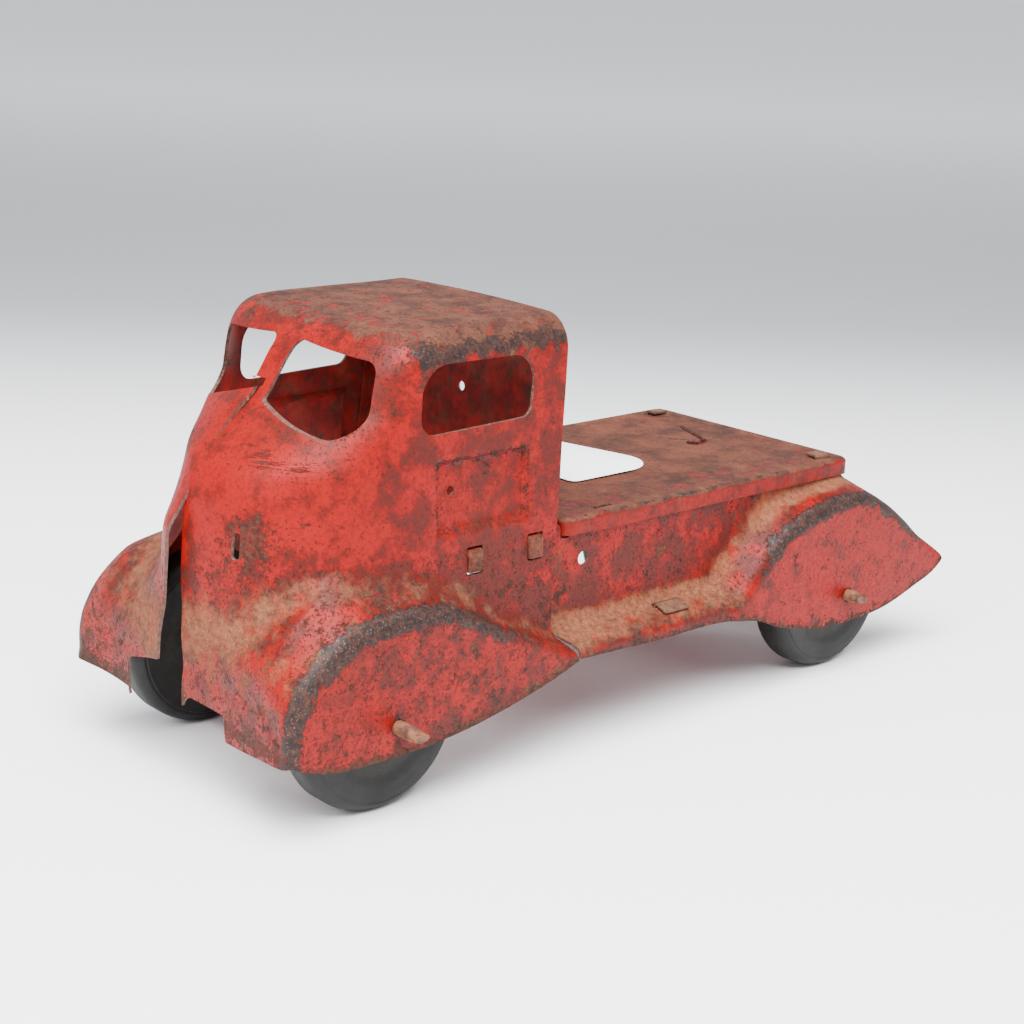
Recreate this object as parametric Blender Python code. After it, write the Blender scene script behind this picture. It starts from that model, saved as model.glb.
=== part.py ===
"""A pressed-steel cab-over toy tow truck with its crane missing.

Lengths are millimetres and become metres when a mesh is made. While a shape is being worked out, x is
the truck's left, y runs to its back with y = 0 at the foot of the cab's rear edge, and z is up from the
ground. place() then moves everything so that the origin is under the middle of the truck.
"""
import math

import bmesh
import bpy
import numpy as np

MM = 0.001
GAP = 0.3                       # clearance between pieces that touch
SHEET = 1.0                     # thickness of the pressed steel

# Overall
SKIRT_X = 58.5                  # half the width over the fender skirts
TAIL_Y = 194.6                  # tip of the rear fenders
FOREMOST_Y = -109.8             # the sprung front edge of the right half of the nose
MIDDLE_Y = (FOREMOST_Y + TAIL_Y) / 2
AXLE_Z = 29.0
FRONT_AXLE_Y = -67.2
REAR_AXLE_Y = 138.6

# Wheels and axles
WHEEL_R = 29.0
WHEEL_WIDTH = 15.0
WHEEL_X = 44.5                  # middle of a wheel
AXLE_R = 2.3
BORE_R = AXLE_R + GAP
FRONT_AXLE_HALF = 69.5
REAR_AXLE_HALF = 65.5

# Cab
CAB_HUB_Y = -48.0               # the nose's sections fan out from this upright line
CAB_FOOT_Z = 42.0               # foot of the cab's rear edge
CAB_HALF_WIDTH = 50.0           # at the foot
CAB_LEAN_IN = 3.8 / 80          # the sides lean in this much for each mm of height
CAB_LEAN_BACK = 6.8 / 88        # and the rear edge leans back this much
ROOF_Z = 141.4
SHOULDER_R = 10.0
NOSE_ROUNDNESS = 2.4            # exponent of the nose's plan outline
RIDGE_R = 3.5
CAB_FILLET_R = 6.0
FRONT_CORNER_Y = -105.4
TAIL_REACH = 5.0                # how far the front fender's tail passes the cab's rear edge

# Body and deck
BODY_HALF_WIDTH = 46.0
BODY_TOP_Z = 74.6
BODY_END_Y = 146.0
BOARD_X = 57.5
BOARD_Z = 37.5
DECK_HALF_WIDTH = 47.6
DECK_TOP_Z = 76.4
DECK_FRONT_Y = 7.0
DECK_BACK_Y = 147.7
DECK_RIM_Z = 70.6
REAR_WALL_FOOT_Z = 75.4


# ---------------------------------------------------------------- small tools

def smooth_curve(points):
    """The curve through (position, value) points, level beyond its ends."""
    at, value = np.array(sorted(points), float).T
    slope = np.gradient(value, at)

    def curve(position):
        q = np.clip(position, at[0], at[-1])
        i = np.clip(np.searchsorted(at, q) - 1, 0, len(at) - 2)
        step = at[i + 1] - at[i]
        t = (q - at[i]) / step
        start = (2 * t**3 - 3 * t**2 + 1) * value[i] + (t**3 - 2 * t**2 + t) * step * slope[i]
        return start + (3 * t**2 - 2 * t**3) * value[i + 1] + (t**3 - t**2) * step * slope[i + 1]

    return curve


def ease(q):
    """0 below 0, 1 above 1, and a smooth step between."""
    q = np.clip(q, 0, 1)
    return q * q * (3 - 2 * q)


def round_max(a, b, radius):
    """Where both fields are negative, with the edge between them rounded."""
    a, b = a + radius, b + radius
    return np.minimum(np.maximum(a, b), 0) + np.hypot(np.maximum(a, 0), np.maximum(b, 0)) - radius


def round_min(a, b, radius):
    """Where either field is negative, with a fillet in the corner between them."""
    return -round_max(-a, -b, radius)


def crossing(field, low, high):
    """The place between low and high where a field turns from negative to positive."""
    low, high = np.broadcast_arrays(np.array(low, float), np.array(high, float))
    low, high = low.copy(), high.copy()
    for _ in range(40):
        middle = (low + high) / 2
        inside = field(middle) < 0
        low, high = np.where(inside, middle, low), np.where(inside, high, middle)
    return (low + high) / 2


class Arch:
    """A fender's outline seen from the side, stored as a radius that turns about a hub."""

    def __init__(self, hub, points):
        self.hub = hub
        turn = [math.atan2(y - hub[0], z - hub[1]) for y, z in points]
        reach = [math.hypot(y - hub[0], z - hub[1]) for y, z in points]
        self.reach = smooth_curve(list(zip(turn, reach)))

    def distance(self, y, z):
        dy, dz = y - self.hub[0], z - self.hub[1]
        return np.hypot(dy, dz) - self.reach(np.arctan2(dy, dz))

    def height(self, y):
        return crossing(lambda z: self.distance(y, z), self.hub[1], self.hub[1] + 60)


# ---------------------------------------------------------------- the cab's shape

SEAM_Y = smooth_curve([(25, -93), (38, -97), (50, -101.5), (60, -103), (72, -103), (85, -102), (91, -101),
                       (97, -99), (102, -96.5), (108, -90), (114, -82.5), (118, -77), (124, -72.5),
                       (134, -66.2), (144, -61)])
FRONT_ARCH = Arch((-60, 18), [(-106, 27), (-105, 38), (-100, 47), (-95, 52), (-88, 57), (-79, 60), (-70, 61),
                              (-62, 62), (-53, 61.5), (-43, 59), (-34, 54.5), (-25, 49.5), (-14, 45),
                              (-3, 39.5), (5, 36), (14, 31)])
FRONT_RISE = smooth_curve([(-95, 0.8), (-79, 0.75), (-62, 0.45), (-37, 0.25), (-20, 0.15), (0, 0.05)])
SKIRT_BOTTOM = smooth_curve([(-105.4, 25.5), (-92, 21), (-75, 20), (-49, 21), (-24, 25), (-7, 29.5),
                             (5, 33.5)])
APRON_TOP_Z = smooth_curve([(0, 57), (0.5, 63)])
FENDER_SLOPE_REACH = 14.0       # the fender top stops rising this far in from the skirt
APRON_SETBACK = 3.3             # the apron's middle stands this far behind its corners
KNEE_Z = 45.0                   # height on the apron that carries the ridge's row of points
CORNER_STATION = math.atan2(SKIRT_X, CAB_HUB_Y - FRONT_CORNER_Y) / (math.pi / 2)
DOOR_PANEL_Y = (-46.0, -9.0)
DOOR_PANEL_Z = (80.0, 103.0)
DOOR_PANEL_DEPTH = 1.8
DOOR_PANEL_BORDER = 1.8


def cab_walls(x, y, z):
    """Nose, sides and roof. Forward of the hub line the plan outline is a superellipse."""
    half = CAB_HALF_WIDTH - CAB_LEAN_IN * (z - CAB_FOOT_Z)
    ahead = np.maximum(CAB_HUB_Y - y, 0)
    length = CAB_HUB_Y - SEAM_Y(z)
    aside = np.maximum(np.abs(x), 0.01)
    ratio = ((aside / half) ** NOSE_ROUNDNESS + (ahead / length) ** NOSE_ROUNDNESS) ** (1 / NOSE_ROUNDNESS)
    reach = np.hypot(aside, ahead)
    side = reach - reach / ratio
    roof = z - ROOF_Z + 0.0006 * x**2 + 0.0035 * np.maximum(-38 - y, 0) ** 2
    return round_max(side, roof, SHOULDER_R)


def front_fender(x, y, z):
    inward = np.clip(SKIRT_X - np.abs(x), 0, FENDER_SLOPE_REACH)
    setback = APRON_SETBACK * (1 - (x / SKIRT_X) ** 2)
    top = FRONT_ARCH.distance(y - setback, z - FRONT_RISE(y) * inward)
    return round_max(np.abs(x) - SKIRT_X, top, RIDGE_R)


def cab_field(x, y, z):
    return round_min(cab_walls(x, y, z), front_fender(x, y, z), CAB_FILLET_R)


def rear_edge_shift(z):
    """How far the cab's rear edge lies behind y = 0 at a height."""
    return np.where(z > CAB_FOOT_Z, CAB_LEAN_BACK * (z - CAB_FOOT_Z),
                    TAIL_REACH * ease((CAB_FOOT_Z - z) / 6))


def cab_point(station, reach, z):
    """Stations 0 to 1 turn from the nose's seam to its side, and 1 to 2 run back along the side."""
    turn = np.minimum(station, 1) * math.pi / 2
    back = np.clip(station - 1, 0, 1)
    y_side = CAB_HUB_Y * (1 - back) + back**2 * rear_edge_shift(z)
    x = reach * np.sin(turn)
    y = np.where(station <= 1, CAB_HUB_Y - reach * np.cos(turn), y_side)
    return np.where(station <= 1, x, reach), y, z


RAY_Z = 30.0                    # every surface point is found along a ray from this height


def surface_reach(point, field, station, z):
    """How far out a level ray meets the surface."""
    return crossing(lambda reach: field(*point(station, reach, z)), 0, 130)


def surface_height(point, field, station, reach):
    """How high an upright ray meets the surface."""
    return float(crossing(lambda z: field(*point(station, reach, z)), RAY_Z - 2, 150))


def ray_angles(point, field, station, targets):
    """Angles of the rays through (reach, z) targets, where None is found on the surface."""
    angles = []
    for reach, z in targets:
        if reach is None:
            reach = surface_reach(point, field, station, z)
        if z is None:
            z = surface_height(point, field, station, reach)
        angles.append(np.arctan2(z - RAY_Z, reach))
    return np.array(angles)


def fender_targets(wall, ridge_reach, ridge_z, bottom_z, foot_z):
    """Key points from the foot of a wall, over the fender's top and ridge, to its bottom edge."""
    drop = min(RIDGE_R, 0.4 * (ridge_z - bottom_z))
    inner = ridge_reach - RIDGE_R
    valley = wall + 0.35 * (inner - wall)
    targets = [(None, foot_z), (valley, None), ((valley + inner) / 2, None), (inner, None)]
    targets += [(ridge_reach, ridge_z - q) for q in (0, drop, (ridge_z + drop - bottom_z) / 2)]
    return targets + [(ridge_reach, bottom_z)]


def cab_targets(station):
    """The key points of one section, from the roof's middle down to the skirt's bottom edge."""
    edge = surface_reach(cab_point, cab_field, station, ROOF_Z - SHOULDER_R - 3)
    targets = [(0, ROOF_Z), (edge * 0.45, ROOF_Z), (edge - 9, ROOF_Z), (edge - 5, ROOF_Z - 1.5),
               (edge - 1.5, ROOF_Z - 4.5), (edge, ROOF_Z - 8)]
    targets += [(None, z) for z in (128, 122.5, 121, 112, 103, 100.5, 91, 82.5, 80, 74)]
    if station < CORNER_STATION:
        top = float(APRON_TOP_Z(station))
        bottom = 21.5 + 4 * (station / CORNER_STATION) ** 4
        return targets + [(None, z) for z in (top + 3, top, (top + KNEE_Z) / 2 + 1.5, KNEE_Z + 4, KNEE_Z,
                                              KNEE_Z - 4, (KNEE_Z - 4 + bottom) / 2, bottom)]
    reach = SKIRT_X / math.sin(min(station, 1) * math.pi / 2)
    y = cab_point(station, reach, AXLE_Z)[1]
    wall = float(surface_reach(cab_point, cab_walls, station, 70))
    foot = surface_height(cab_point, front_fender, station, wall) + 3
    return targets + fender_targets(wall, reach, float(FRONT_ARCH.height(y)), float(SKIRT_BOTTOM(y)), foot)


def section_grid(point, field, stations, targets_of):
    """Surface points, one row for each station and one column for each key point."""
    rows = []
    for station in stations:
        angle = ray_angles(point, field, station, targets_of(station))
        length = crossing(lambda q: field(*point(station, q * np.cos(angle), RAY_Z + q * np.sin(angle))), 0, 180)
        x, y, z = point(station, length * np.cos(angle), RAY_Z + length * np.sin(angle))
        rows.append(np.stack(np.broadcast_arrays(x, y, z), axis=1))
    return np.array(rows)


def press_door_panel(points):
    """Push the door's panel inwards, with a sloping border."""
    y, z = points[..., 1], points[..., 2]
    border = np.minimum.reduce([y - DOOR_PANEL_Y[0], DOOR_PANEL_Y[1] - y, z - DOOR_PANEL_Z[0],
                                DOOR_PANEL_Z[1] - z])
    points[..., 0] -= DOOR_PANEL_DEPTH * np.clip(border / DOOR_PANEL_BORDER, 0, 1)


FLAT_SIDE_ROUNDNESS = smooth_curve([(60, 2.4), (68, 1.6), (75, 1.5), (105, 1.55), (122, 1.95), (136, 2.4)])


def flatten_side(points):
    """Draw the right half of the nose in between its seam and its side, where it has lost its bulge."""
    x, y, z = points[..., 0], points[..., 1], points[..., 2]
    half = CAB_HALF_WIDTH - CAB_LEAN_IN * (z - CAB_FOOT_Z)
    aside = np.abs(x) / half
    ahead = np.maximum(CAB_HUB_Y - y, 0.001) / (CAB_HUB_Y - SEAM_Y(z))

    def ratio(n):
        return (aside**n + ahead**n) ** (1 / n)

    scale = np.where(y < CAB_HUB_Y, ratio(NOSE_ROUNDNESS) / ratio(FLAT_SIDE_ROUNDNESS(z)), 1)
    points[..., 0] *= scale
    points[..., 1] = CAB_HUB_Y + (y - CAB_HUB_Y) * scale


SPRUNG_OUT = smooth_curve([(31, 8.5), (38, 7.5), (47, 5.5), (60, 5), (75, 5), (82, 4.6), (86, 2.8), (89, 1.6),
                           (121, 1.6)])
SPRUNG_ASIDE = smooth_curve([(31, -4.5), (38, -3.5), (47, -4.5), (64, -1.5), (74, -0.8), (82, -1.0),
                             (86, -0.4), (92, 0.6), (112, 0.6), (121, -0.4)])
SPRUNG_WIDTH = 52.0             # the bend has died away this far from the seam
SPRUNG_TOP_Z = 122.0


def spring_open(points):
    """Bend the right half of the nose forwards and aside, most at its seam and its foot."""
    x, y, z = points[..., 0], points[..., 1], points[..., 2]
    share = np.clip(1 - np.abs(x) / SPRUNG_WIDTH, 0, 1) ** 2 * (z < SPRUNG_TOP_Z) * (y < CAB_HUB_Y)
    slope = np.clip((z - 92) / 16, 0, 1) * math.radians(42)
    points[..., 0] += share * SPRUNG_ASIDE(z)
    points[..., 1] -= share * SPRUNG_OUT(z) * np.cos(slope)
    points[..., 2] += share * SPRUNG_OUT(z) * np.sin(slope)


# ---------------------------------------------------------------- the body's shape

REAR_ARCH = Arch((138, 15), [(79, 32), (86, 43), (94, 51), (102, 57), (111, 61), (121, 63.3), (134, 65),
                             (147, 64.5), (159, 59), (171, 51), (182, 42.5), (194.6, 34.4), (204, 27)])
REAR_RISE = smooth_curve([(79, 0.75), (96, 0.5), (107, 0.4), (121, 0.3), (147, 0.28), (160, 0.2), (194, 0.1)])
BODY_BOTTOM = smooth_curve([(0, 33.5), (40, 32.4), (80, 31), (91, 28.8), (100, 25), (111, 22), (128, 19.2),
                            (143, 19), (160, 20.2), (178, 25), (190, 29.4), (194.6, 32.6)])
BODY_FILLET_R = 4.0
BOARD_END_Y = 120.0             # under the rear fender, the running board stops here


def body_box(x, y, z):
    side = round_max(np.abs(x) - BODY_HALF_WIDTH, y - BODY_END_Y, 4)
    return round_max(side, z - BODY_TOP_Z, 1.6)


def body_side_x(y):
    """The running board is a little narrower than the fender it runs into."""
    return BOARD_X + (SKIRT_X - BOARD_X) * ease((y - 74) / 10)


def boards_and_fenders(x, y, z):
    inward = np.clip(SKIRT_X - np.abs(x), 0, FENDER_SLOPE_REACH)
    fender = REAR_ARCH.distance(y, z - REAR_RISE(y) * inward)
    board = round_max(z - BOARD_Z - 0.35 * inward, y - BOARD_END_Y, 2)
    return round_max(np.abs(x) - body_side_x(y), round_min(board, fender, 4), RIDGE_R)


def body_field(x, y, z):
    return round_min(body_box(x, y, z), boards_and_fenders(x, y, z), BODY_FILLET_R)


def body_point(station, reach, z):
    """A station is a y. The front edge follows the cab's rear edge, and that bend fades by y = 40."""
    return reach, station + (1 - ease(station / 40)) * (rear_edge_shift(z) + 1.6), z


def body_targets(y):
    """The key points of one section, from the middle of the top down to the skirt's bottom edge."""
    ridge_z = max(float(REAR_ARCH.height(y)) if y > 79 else 0, BOARD_Z if y < BOARD_END_Y else 0)
    fender = fender_targets(BODY_HALF_WIDTH, float(body_side_x(y)), ridge_z, float(BODY_BOTTOM(y)), 0)
    if y > BODY_END_Y:
        return [(reach, None) for reach in (0.01, 30, 40, 43, 44.5, 46)] + fender[1:]
    foot = min(surface_height(body_point, boards_and_fenders, y, BODY_HALF_WIDTH) + 2, BODY_TOP_Z - 2.6)
    edge_z = BODY_TOP_Z - 1.6
    return [(0, BODY_TOP_Z), (38, BODY_TOP_Z), (BODY_HALF_WIDTH - 1.6, BODY_TOP_Z), (None, edge_z),
            (None, (edge_z + foot) / 2), (None, foot)] + fender[1:]


# ---------------------------------------------------------------- meshes and objects

def place(points):
    """From working millimetres to metres under the truck's middle."""
    points = np.asarray(points, float).reshape(-1, 3)
    return (points - (0, MIDDLE_Y, 0)) * MM


def add_object(name, points, faces):
    mesh = bpy.data.meshes.new(name)
    mesh.from_pydata([tuple(p) for p in points], [], faces)
    item = bpy.data.objects.new(name, mesh)
    bpy.context.scene.collection.objects.link(item)
    return item


def face_outwards(item):
    bm = bmesh.new()
    bm.from_mesh(item.data)
    bmesh.ops.recalc_face_normals(bm, faces=bm.faces)
    bm.to_mesh(item.data)
    bm.free()


def split_faces(item, point, normal):
    """Add edges where a plane crosses an item."""
    bm = bmesh.new()
    bm.from_mesh(item.data)
    bmesh.ops.bisect_plane(bm, geom=bm.verts[:] + bm.edges[:] + bm.faces[:], plane_co=point, plane_no=normal)
    bm.to_mesh(item.data)
    bm.free()


def shade(item, degrees=40):
    item.data.shade_smooth()
    item.data.set_sharp_from_angle(angle=math.radians(degrees))


def give_material(item, name, colour, roughness, metallic=0.0):
    material = bpy.data.materials.get(name)
    if material is None:
        material = bpy.data.materials.new(name)
        material.use_nodes = True
        surface = material.node_tree.nodes["Principled BSDF"]
        surface.inputs["Base Color"].default_value = (*colour, 1)
        surface.inputs["Roughness"].default_value = roughness
        surface.inputs["Metallic"].default_value = metallic
        material.diffuse_color = (*colour, 1)
    item.data.materials.append(material)


def red_paint(item, name="worn_red_paint"):
    give_material(item, name, (0.42, 0.05, 0.035), 0.5, 0.1)


def rounded(corners, segments=4):
    """An outline whose (u, v, radius) corners are rounded with arcs."""
    outline = []
    count = len(corners)
    for i, (u, v, radius) in enumerate(corners):
        here = np.array((u, v), float)
        before = np.array(corners[i - 1][:2], float) - here
        after = np.array(corners[(i + 1) % count][:2], float) - here
        before /= np.linalg.norm(before)
        after /= np.linalg.norm(after)
        if radius <= 0:
            outline.append(tuple(here))
            continue
        half = math.acos(np.clip(before @ after, -1, 1)) / 2
        middle = here + (before + after) / np.linalg.norm(before + after) * radius / math.sin(half)
        first = here + before * radius / math.tan(half) - middle
        last = here + after * radius / math.tan(half) - middle
        start = math.atan2(first[1], first[0])
        sweep = (math.atan2(last[1], last[0]) - start + math.pi) % (2 * math.pi) - math.pi
        for k in range(segments + 1):
            turn = start + sweep * k / segments
            outline.append((middle[0] + radius * math.cos(turn), middle[1] + radius * math.sin(turn)))
    return outline


def disc(u, v, radius, sides=12):
    return [(u + radius * math.cos(2 * math.pi * (k + 0.5) / sides),
             v + radius * math.sin(2 * math.pi * (k + 0.5) / sides)) for k in range(sides)]


def prism(name, outline, axis, low, high):
    """A closed block: an outline pushed along axis "x", "y" or "z" from low to high."""
    order = {"x": lambda u, v, w: (w, u, v), "y": lambda u, v, w: (u, w, v), "z": lambda u, v, w: (u, v, w)}
    count = len(outline)
    points = [order[axis](u, v, w) for w in (low, high) for u, v in outline]
    faces = [list(range(count)), list(range(count, 2 * count))]
    faces += [[i, (i + 1) % count, count + (i + 1) % count, count + i] for i in range(count)]
    item = add_object(name, place(points), faces)
    face_outwards(item)
    return item


def apply_tool(item, tool, operation="DIFFERENCE"):
    """Cut a tool from an item or join it on. The tool itself isn't a piece."""
    tool.hide_render = True
    tool.display_type = "WIRE"
    modifier = item.modifiers.new(tool.name, "BOOLEAN")
    modifier.operation = operation
    modifier.object = tool
    modifier.solver = "EXACT"


def thicken(item, thickness=SHEET):
    modifier = item.modifiers.new("sheet", "SOLIDIFY")
    modifier.thickness = thickness * MM
    modifier.offset = -1
    modifier.use_even_offset = True
    item.modifiers.new("flat_faces", "TRIANGULATE")


def shell_object(name, left, right):
    """Two grids of points joined where they meet, facing out and thickened into sheet steel."""
    points, faces = [], []
    for grid, flip in ((left, False), (right, True)):
        rows, columns = grid.shape[:2]
        base = len(points)
        points += list(place(grid))
        for i in range(rows - 1):
            for j in range(columns - 1):
                a = base + i * columns + j
                face = [a, a + columns, a + columns + 1, a + 1]
                faces.append(face if flip else face[::-1])
    item = add_object(name, points, faces)
    bm = bmesh.new()
    bm.from_mesh(item.data)
    bmesh.ops.remove_doubles(bm, verts=bm.verts, dist=1e-5)
    bmesh.ops.dissolve_degenerate(bm, edges=bm.edges, dist=1e-5)
    bm.to_mesh(item.data)
    bm.free()
    thicken(item)
    return item


# ---------------------------------------------------------------- cab

WINDSHIELD = [(4.2, 117.2, 1.5), (4.6, 134.6, 3), (37.6, 132.2, 4.5), (41.4, 109.2, 6)]
RIGHT_WINDSHIELD = [(0.8, 120.6, 0), (0.8, 122.6, 0), (-4.3, 122.6, 0), (-4.6, 134.6, 3), (-37.6, 132.2, 4.5),
                    (-41.4, 109.2, 6)]
DOOR_WINDOW = [(-51.5, 110.6, 5), (-50, 131.2, 10), (-6, 131, 8), (-8.5, 111.8, 4)]
TAB_SLOTS_Y = (-31.0, -6.5)
TAB_SLOT_Z = 70.8
CAB_TAB_END_X = 49.4
LAMP_SLOT_X = 22.0
RIGHT_APRON = [(-0.3, 10, 0), (-0.3, 42, 0), (-25, 35, 1.5), (-26, 10, 0)]
RIGHT_CORNER_FOOT = [(-25.5, 10), (-25.5, 25), (-60, 25.3), (-60, 10)]
DECK_TABS_Y = (28.0, 138.0)
TORN_V = [(1, 123.4), (3.2, 118.6), (3, 113.8), (-0.6, 112.4), (-3.6, 116.6), (-11, 109.5), (-12.5, 110.8),
          (-2.2, 122.2), (-21.8, 130.4), (-21.2, 132.6)]
CLEAR_PATCH_X = 34.0            # the deck's flat patch between the label and the torn V
CLEAR_PATCH_Y = (85.0, 107.0)
LABEL = [(-33, 40, 3), (16.5, 40, 3), (16.5, 84, 13), (-33, 73.4, 4)]


def make_cab_shell():
    stations = [0, 0.1, 0.2, 0.3, 0.4, 0.46, CORNER_STATION, 0.525, 0.56, 0.62, 0.7, 0.84, 1]
    stations += [2 + y / -CAB_HUB_Y for y in (-46, -43.5, -22, -11.5, -9, -4, 0)]
    left = section_grid(cab_point, cab_field, stations, cab_targets)
    press_door_panel(left)
    right = left * (-1, 1, 1)
    flatten_side(right)
    spring_open(right)
    cab = shell_object("cab_shell", left, right)
    tools = [prism("cut_windshield_left", rounded(WINDSHIELD), "y", -95, -46),
             prism("cut_windshield_right", rounded(RIGHT_WINDSHIELD), "y", -95, -46),
             prism("cut_door_windows", rounded(DOOR_WINDOW), "x", -60, 60),
             prism("cut_door_knob_holes", disc(-39, 93, 1.5, 8), "x", -60, 60),
             prism("cut_apron_left", rounded([(-2, 10, 0), (23, 10, 0), (23, 30, 1.5), (0.3, 30, 6)]), "y",
                   -112, -85),
             prism("cut_apron_right", rounded(RIGHT_APRON), "y", -125, -85),
             prism("cut_right_corner_foot", RIGHT_CORNER_FOOT, "y", -125, -101.5),
             prism("cut_front_axle_holes", disc(FRONT_AXLE_Y, AXLE_Z, BORE_R, 16), "x", -64, 64)]
    for side in (-1, 1):
        x = side * LAMP_SLOT_X
        slot = rounded([(x - 1.3, 76.5, 1), (x + 1.3, 76.5, 1), (x + 1.3, 84.5, 1), (x - 1.3, 84.5, 1)], 2)
        tools.append(prism(f"cut_lamp_slot_{side}", slot, "y", -120, -80))
    for y in TAB_SLOTS_Y:
        slot = [(y - 3.2, TAB_SLOT_Z - 4.3), (y + 3.2, TAB_SLOT_Z - 4.3), (y + 3.2, TAB_SLOT_Z + 4.3),
                (y - 3.2, TAB_SLOT_Z + 4.3)]
        for side in (-1, 1):
            tools.append(prism(f"cut_tab_slot_{side}_{y}", slot, "x", side * 50 - 8, side * 50 + 8))
    for tool in tools:
        apply_tool(cab, tool)
    red_paint(cab)
    return cab


def make_cab_rear_wall():
    """A plate that closes the cab's back, with its rim turned forwards inside the shell."""
    inset = SHEET + GAP + 0.3

    def outline(rim):
        corners = []
        for z in (REAR_WALL_FOOT_Z, ROOF_Z - inset):
            half = CAB_HALF_WIDTH - CAB_LEAN_IN * (z - CAB_FOOT_Z) - inset - rim
            corners.append((half, z + (rim if z < 100 else -rim), 2 if z < 100 else SHOULDER_R - inset - rim))
        (low_x, low_z, low_r), (high_x, high_z, high_r) = corners
        return rounded([(-low_x, low_z, low_r), (low_x, low_z, low_r), (high_x, high_z - 1, high_r),
                        (-high_x, high_z - 1, high_r)])

    loops = [(outline(0), -6.5), (outline(0), -2.2), (outline(1.2), -1.0)]
    points = [(x, CAB_LEAN_BACK * (z - CAB_FOOT_Z) + y, z) for loop, y in loops for x, z in loop]
    count = len(loops[0][0])
    faces = [[k * count + i, k * count + (i + 1) % count, (k + 1) * count + (i + 1) % count, (k + 1) * count + i]
             for k in range(2) for i in range(count)]
    faces.append([2 * count + i for i in range(count)])
    wall = add_object("cab_rear_wall", place(points), [face[::-1] for face in faces])
    thicken(wall, 0.8)
    apply_tool(wall, prism("cut_rear_wall_hole", disc(0, 111, 1.6, 10), "y", -20, 20))
    red_paint(wall, "dull_red_paint")


def make_body_shell():
    stations = [0, 12, 26, 43, 62, 76, 82, 88, 95, 103, 112, 121, 134, 143, 145.4, 146.4, 150, 155, 162,
                171, 180, 188, 194.6]
    left = section_grid(body_point, body_field, stations, body_targets)
    body = shell_object("body_shell", left, left * (-1, 1, 1))
    cuts = [prism("cut_bed_opening", rounded([(-38, 12, 3), (38, 12, 3), (38, 141, 3), (-38, 141, 3)], 2), "z",
                  72, 78),
            prism("cut_for_deck_front_rim", [(-50, DECK_FRONT_Y - 0.5), (50, DECK_FRONT_Y - 0.5),
                                             (50, DECK_FRONT_Y + 3.3), (-50, DECK_FRONT_Y + 3.3)], "z",
                  DECK_RIM_Z - 0.6, 80),
            prism("cut_between_tails", rounded([(-45, 168, 10), (45, 168, 10), (45, 200, 0), (-45, 200, 0)]), "z",
                  20, 90),
            prism("cut_rear_axle_holes", disc(REAR_AXLE_Y, AXLE_Z, BORE_R, 16), "x", -64, 64)]
    joins = []
    for side in (-1, 1):
        label = "left" if side > 0 else "right"
        wall = side * (BODY_HALF_WIDTH - 0.6)
        cuts.append(prism(f"cut_side_hole_{label}", disc(17, 62, 2.3), "x", wall - 4, wall + 4))
        slot = [(side * 48.3, 46.7), (side * 50.3, 46.7), (side * 50.3, 59.3), (side * 48.3, 59.3)]
        cuts.append(prism(f"cut_strap_slot_{label}", slot, "z", 30, 50))
        joins.append(prism(f"join_tongue_{label}", [(-36, 66.2), (6, 66.2), (6, 74.4), (-36, 74.4)], "x",
                           wall - 0.5, wall + 0.5))
        for y in TAB_SLOTS_Y:
            tab = [(y - 2.9, 67), (y + 2.9, 67), (y + 2.9, 74.2), (y - 2.9, 74.2)]
            joins.append(prism(f"join_cab_tab_{label}_{y}", tab, "x", *sorted((wall, side * CAB_TAB_END_X))))
        for y in DECK_TABS_Y:
            if side > 0 and y == DECK_TABS_Y[0]:
                continue
            upright = [(side * 41.4, DECK_TOP_Z - 2.5), (side * 42.6, DECK_TOP_Z - 2.5)]
            folded = [(side * 42.6, DECK_TOP_Z + 1.5), (side * 37.5, DECK_TOP_Z + 1.5),
                      (side * 37.5, DECK_TOP_Z + GAP), (side * 41.4, DECK_TOP_Z + GAP)]
            joins.append(prism(f"join_deck_tab_{label}_{y}", upright + folded, "y", y - 3.5, y + 3.5))
    for tool in cuts:
        apply_tool(body, tool)
    for tool in joins:
        apply_tool(body, tool, "UNION")
    red_paint(body)


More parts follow.
